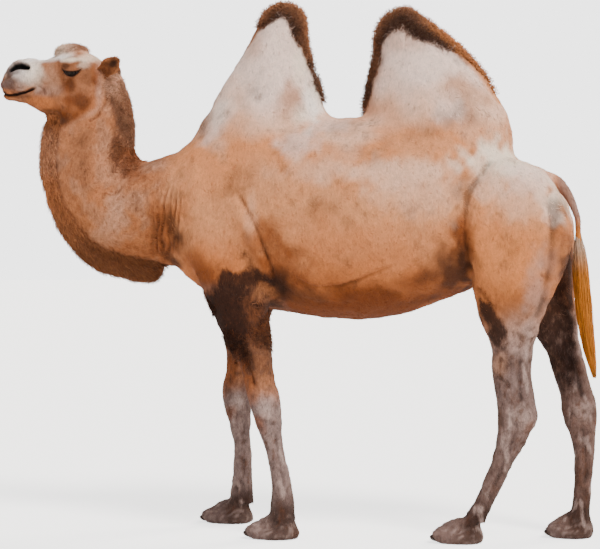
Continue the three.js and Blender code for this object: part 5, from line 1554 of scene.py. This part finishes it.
def makeLashes(hand, side):
    # long lashes along the edge of the upper lid, hanging outwards and down, and short ones below
    draw = np.random.default_rng(lashes["seed"])
    u = np.sort(draw.uniform(-0.85, 0.95, lashes["count"]))
    c, s = math.cos(eyeSlit["tilt"]), math.sin(eyeSlit["tilt"])
    v = eyeSlit["upper"] * (1 - u ** 2) + 0.001
    x = eyeSlit["at"][0] + u * eyeSlit["half"] * c + v * s
    z = eyeSlit["at"][1] - u * eyeSlit["half"] * s + v * c
    bulge = toSurface(skinField, np.stack([x, np.full(len(x), side * 0.102), z], 1), 3)
    roots = bulge + np.array([0, side * 0.0012, 0])
    normals = np.tile([0.0, side, 0.25], (len(u), 1))
    lies = unit(np.stack([u * 0.45, np.full(len(u), side * 0.42), np.full(len(u), -0.8)], 1))
    normals = unit(normals - lies * (normals * lies).sum(1)[:, None])
    colours = np.tile(inks["lash"], (len(u), 1))
    makeTufts(f"lashes_{hand}", roots, normals, lies, lashLook, colours, roundLine(roots, headLine),
              hairMaterial, "face_coat", lashes["seed"] + 1)


ear = dict(root=(-0.803, 0.066, 1.914), width=0.034, depth=0.022, wall=0.004, long=26, round=22, hairs=2600,
           seed=61)
earPose = {"left": dict(tip=(-0.704, 0.128, 1.97), face=(0.1, 0.95, -0.15)),
           "right": dict(tip=(-0.785, 0.16, 1.94), face=(-0.9, 0.25, 0.1))}


def earProfile(t):
    low = 0.6 + 0.4 * np.sin(math.pi / 2 * np.clip((t + 0.12) / 0.54, 0, 1))
    return np.where(t < 0.42, low, np.sqrt(np.clip(1 - ((t - 0.42) / 0.58) ** 2, 0.0003, 1)))


def earColour(points, root, axis, across):
    # brown, darker low down, with a dark spot in the middle of the cup and a paler edge
    off = points - root
    place = off @ axis / (axis @ axis)
    share = off @ across / (ear["width"] * earProfile(place))
    streaks = (0.55 * soft(waves(points, 0.03, 51), -1, 1.4))[:, None]
    colour = inks["mane"] + streaks * (inks["brown"] - inks["mane"])
    colour += (0.45 * (1 - soft(place, 0.3, 0.6)))[:, None] * (inks["rust"] - colour)
    spot = 1 - soft(np.hypot((place - 0.62) / 0.3, share / 0.6), 0.35, 1.1)
    colour += (0.85 * spot)[:, None] * (inks["dark"] - colour)
    colour += (0.6 * soft(np.abs(share), 0.8, 1.0) * soft(place, 0.3, 0.6))[:, None] * (inks["tan"] - colour)
    return colour


def makeEar(hand, side, pose):
    # a cupped leaf: crescents carried from the root to the tip, closed by an inner wall; the half width grows
    # as w * (0.60 + 0.40 sin) up to 0.42 of the length and rounds off beyond as an ellipse
    root, tip = np.array(ear["root"]) * [1, side, 1], np.array(pose["tip"]) * [1, side, 1]
    axis = tip - root
    across = unit(np.cross(axis, np.array(pose["face"]) * [1, side, 1])[None])[0]
    out = unit(np.cross(across, axis)[None])[0]
    t = np.linspace(-0.12, 1, ear["long"])[:, None]
    s = np.linspace(-0.5, 0.5, ear["round"])[None]
    half = ear["width"] * earProfile(t)
    cup = ear["depth"] * (1 - 0.5 * t) * earProfile(t)
    angle = s * math.pi * 0.96
    rows = []
    for thin in (0.0, ear["wall"]):
        curl = 1 + 0.1 * np.sin(9 * t + 2 * angle)
        wall = thin * np.clip(half / ear["width"], 0, 1)
        rows.append(root + t[..., None] * axis + ((half - wall) * np.sin(angle) * curl)[..., None] * across
                    + (-(cup - wall * 1.6) * np.cos(angle) + wall * 0.3)[..., None] * out)
    shell = np.concatenate([rows[0], rows[1][:, ::-1]], 1)
    piece = makeMesh(f"ear_{hand}_leaf", shell.reshape(-1, 3), gridFaces(ear["long"], 2 * ear["round"]))
    capPoles(piece)
    points = readPoints(piece.data) - shift
    setColours(piece, earColour(points, root, axis, across))
    dress(piece, skinMaterial, "dark_wool", f"ear_{hand}")
    roots, normals = scatterRoots(piece.data, ear["hairs"], lambda p: np.ones(len(p)), ear["seed"])
    lies = unit(np.tile(axis, (len(roots), 1)) - normals * (normals @ axis)[:, None])
    shade = earColour(roots, root, axis, across)
    makeTufts(f"ear_{hand}_hair", roots, normals, lies, hairLooks["ear"], shade, roundLine(roots, headLine),
              hairMaterial, "dark_wool", ear["seed"] + 1)


nail = dict(size=(0.02, 0.018, 0.013), z=0.02, inset=0.011, tilt=0.35, rings=22, round=32)


def makeNail(leg, pose, across):
    # a blunt claw: an egg tipped forward, flatter below, with fine growth ridges round it
    x, y, length, width = pose["foot"]
    middle = np.array([x - length * 0.95 + nail["inset"], pose["side"] * y + across * width * 0.45,
                       nail["z"]])
    tilt = np.linspace(0, math.pi, nail["rings"])[:, None]
    turn = np.linspace(0, 2 * math.pi, nail["round"], endpoint=False)[None]
    ridge = 1 + 0.018 * np.sin(tilt * 22)
    a = -np.cos(tilt) * nail["size"][0] + 0 * turn
    b = np.sin(tilt) * np.cos(turn) * nail["size"][1] * ridge
    c = np.sin(tilt) * np.sin(turn) * nail["size"][2] * ridge
    c = np.where(c < 0, c * 0.8, c)
    cos, sin = math.cos(nail["tilt"]), math.sin(nail["tilt"])
    points = np.stack([a * cos + c * sin, b, c * cos - a * sin], 2).reshape(-1, 3) + middle
    points[:, 2] = np.maximum(points[:, 2], 0.001)
    place = "inner" if across * pose["side"] < 0 else "outer"
    piece = makeMesh(f"claw_{leg}_{place}", points, gridFaces(nail["rings"], nail["round"]))
    capPoles(piece)
    points = readPoints(piece.data)
    colour = np.tile(inks["claw"], (len(points), 1))
    colour += (0.5 * soft(waves(points, 0.012, 71), 0, 1.5))[:, None] * (inks["clawPale"] - colour)
    setColours(piece, colour)
    dress(piece, nailMaterial, "nail", f"{leg}_nail_{place}")


def makePlainMaterial(name, roughness, level):
    # smooth finishes take their colour from the piece, and a fine grain
    material, tree = newMaterial(name)
    place = addNode(tree, "ShaderNodeTexCoord").outputs["Object"]
    colour = addNode(tree, "ShaderNodeAttribute", attribute_name="coat").outputs["Color"]
    shaded = addGrain(tree, place, colour, 260.0, level)[0]
    addSurface(tree, {"Base Color": shaded, "Roughness": roughness, "Specular IOR Level": 0.16})
    return material


eyeMaterial = makePlainMaterial("wetEye", 0.22, 0.1)
nailMaterial = makePlainMaterial("toeNail", 0.42, 0.5)
for hand, side in (("left", -1), ("right", 1)):
    makeEye(hand, side)
    makeLashes(hand, side)
    makeEar(hand, side, earPose[hand])
for leg, pose in legPose.items():
    for across in (-1, 1):
        makeNail(leg, pose, across)
print("eyes, ears and claws")

# how far the floor goes and how deep it lies, its tone and the world's; the world's strength as light and as
# seen, and the light added to the floor as seen
stage = dict(radius=40.0, drop=0.0005, tone=(0.93, 0.925, 0.915), world=(0.97, 0.97, 0.97), worldLight=0.22,
             worldSeen=3.4, floorSeen=2.1)


def makeFloor():
    # a wide flat ring of quads round the animal, and a disc in its middle
    count, reaches = 96, np.array([0.5, 2.0, 6.0, 15.0, stage["radius"]])
    angles = np.linspace(0, 2 * math.pi, count, endpoint=False)
    rings = np.stack([np.outer(reaches, np.cos(angles)), np.outer(reaches, np.sin(angles)),
                      np.zeros((len(reaches), count))], 2).reshape(-1, 3)
    faces = gridFaces(len(reaches), count)[:, ::-1]
    ring = makeMesh("studio_floor", rings - [0, 0, stage["drop"]], faces, moved=False)

    def fillMiddle(work):
        rim = [edge for edge in work.edges if edge.is_boundary and max(v.co.length for v in edge.verts) < 1]
        bmesh.ops.holes_fill(work, edges=rim)
    editMesh(ring.data, fillMiddle)
    material, tree = newMaterial("paleFloor")
    place = addNode(tree, "ShaderNodeTexCoord").outputs["Object"]
    tone = addMix(tree, addNoise(tree, place, 0.8, 3.0), (*stage["tone"], 1),
                  (*[0.96 * value for value in stage["tone"]], 1))
    # what the camera sees of the floor is lifted towards the background, so that no horizon shows
    seen = addNode(tree, "ShaderNodeLightPath").outputs["Is Camera Ray"]
    addSurface(tree, {"Base Color": tone, "Roughness": 0.9, "Specular IOR Level": 0.1,
                      "Emission Color": (*stage["world"], 1),
                      "Emission Strength": addMath(tree, "MULTIPLY", seen, stage["floorSeen"])})
    ring.data.materials.append(material)


def makeWorld():
    world = bpy.data.worlds.new("studio")
    world.use_nodes = True
    tree = world.node_tree
    back = tree.nodes["Background"]
    back.inputs["Color"].default_value = (*stage["world"], 1)
    seen = addNode(tree, "ShaderNodeLightPath").outputs["Is Camera Ray"]
    strength = addNode(tree, "ShaderNodeMapRange", {"Value": seen, "To Min": stage["worldLight"],
                                                    "To Max": stage["worldSeen"]})
    tree.links.new(strength.outputs[0], back.inputs["Strength"])
    bpy.context.scene.world = world


lampReach = 6      # how far away the lamps are placed, which changes nothing for sunlight
# name: the way it comes from, strength, angle that it fills in degrees, colour
lights = {
    "key": ((0.48, -0.55, 0.85), 4.3, 18, (1.0, 0.955, 0.9)),
    "fill": ((-0.85, -0.6, 0.35), 0.5, 60, (0.96, 0.97, 1.0)),
    "rim": ((0.7, 0.75, 0.75), 2.2, 20, (1.0, 0.93, 0.82)),
}


def aimed(place, target):
    return (Vector(target) - Vector(place)).to_track_quat("-Z", "Y").to_euler()


def makeLights():
    for name, (place, strength, angle, colour) in lights.items():
        data = bpy.data.lights.new(name, "SUN")
        data.energy, data.angle, data.color = strength, math.radians(angle), colour
        lamp = bpy.data.objects.new(name, data)
        lamp.location, lamp.rotation_euler = [lampReach * value for value in place], aimed(place, (0, 0, 0))
        bpy.context.scene.collection.objects.link(lamp)


view = dict(turn=math.radians(12), rise=math.radians(1.5), distance=8.5, target=(0, 0, 1.053), lens=122.4,
            right=0.039, up=0.019)


def makeCamera():
    turn, rise = view["turn"], view["rise"]
    back = Vector((math.sin(turn) * math.cos(rise), -math.cos(turn) * math.cos(rise), math.sin(rise)))
    place = Vector(view["target"]) + back * view["distance"]
    right = Vector((math.cos(turn), math.sin(turn), 0))
    camera = bpy.data.objects.new("camera", bpy.data.cameras.new("camera"))
    camera.data.lens, camera.data.sensor_width = view["lens"], 36
    camera.location = place
    target = Vector(view["target"]) + right * view["right"] + Vector((0, 0, view["up"]))
    camera.rotation_euler = aimed(place, target)
    bpy.context.scene.collection.objects.link(camera)
    bpy.context.scene.camera = camera


makeFloor()
makeWorld()
makeLights()
makeCamera()
print("stage")
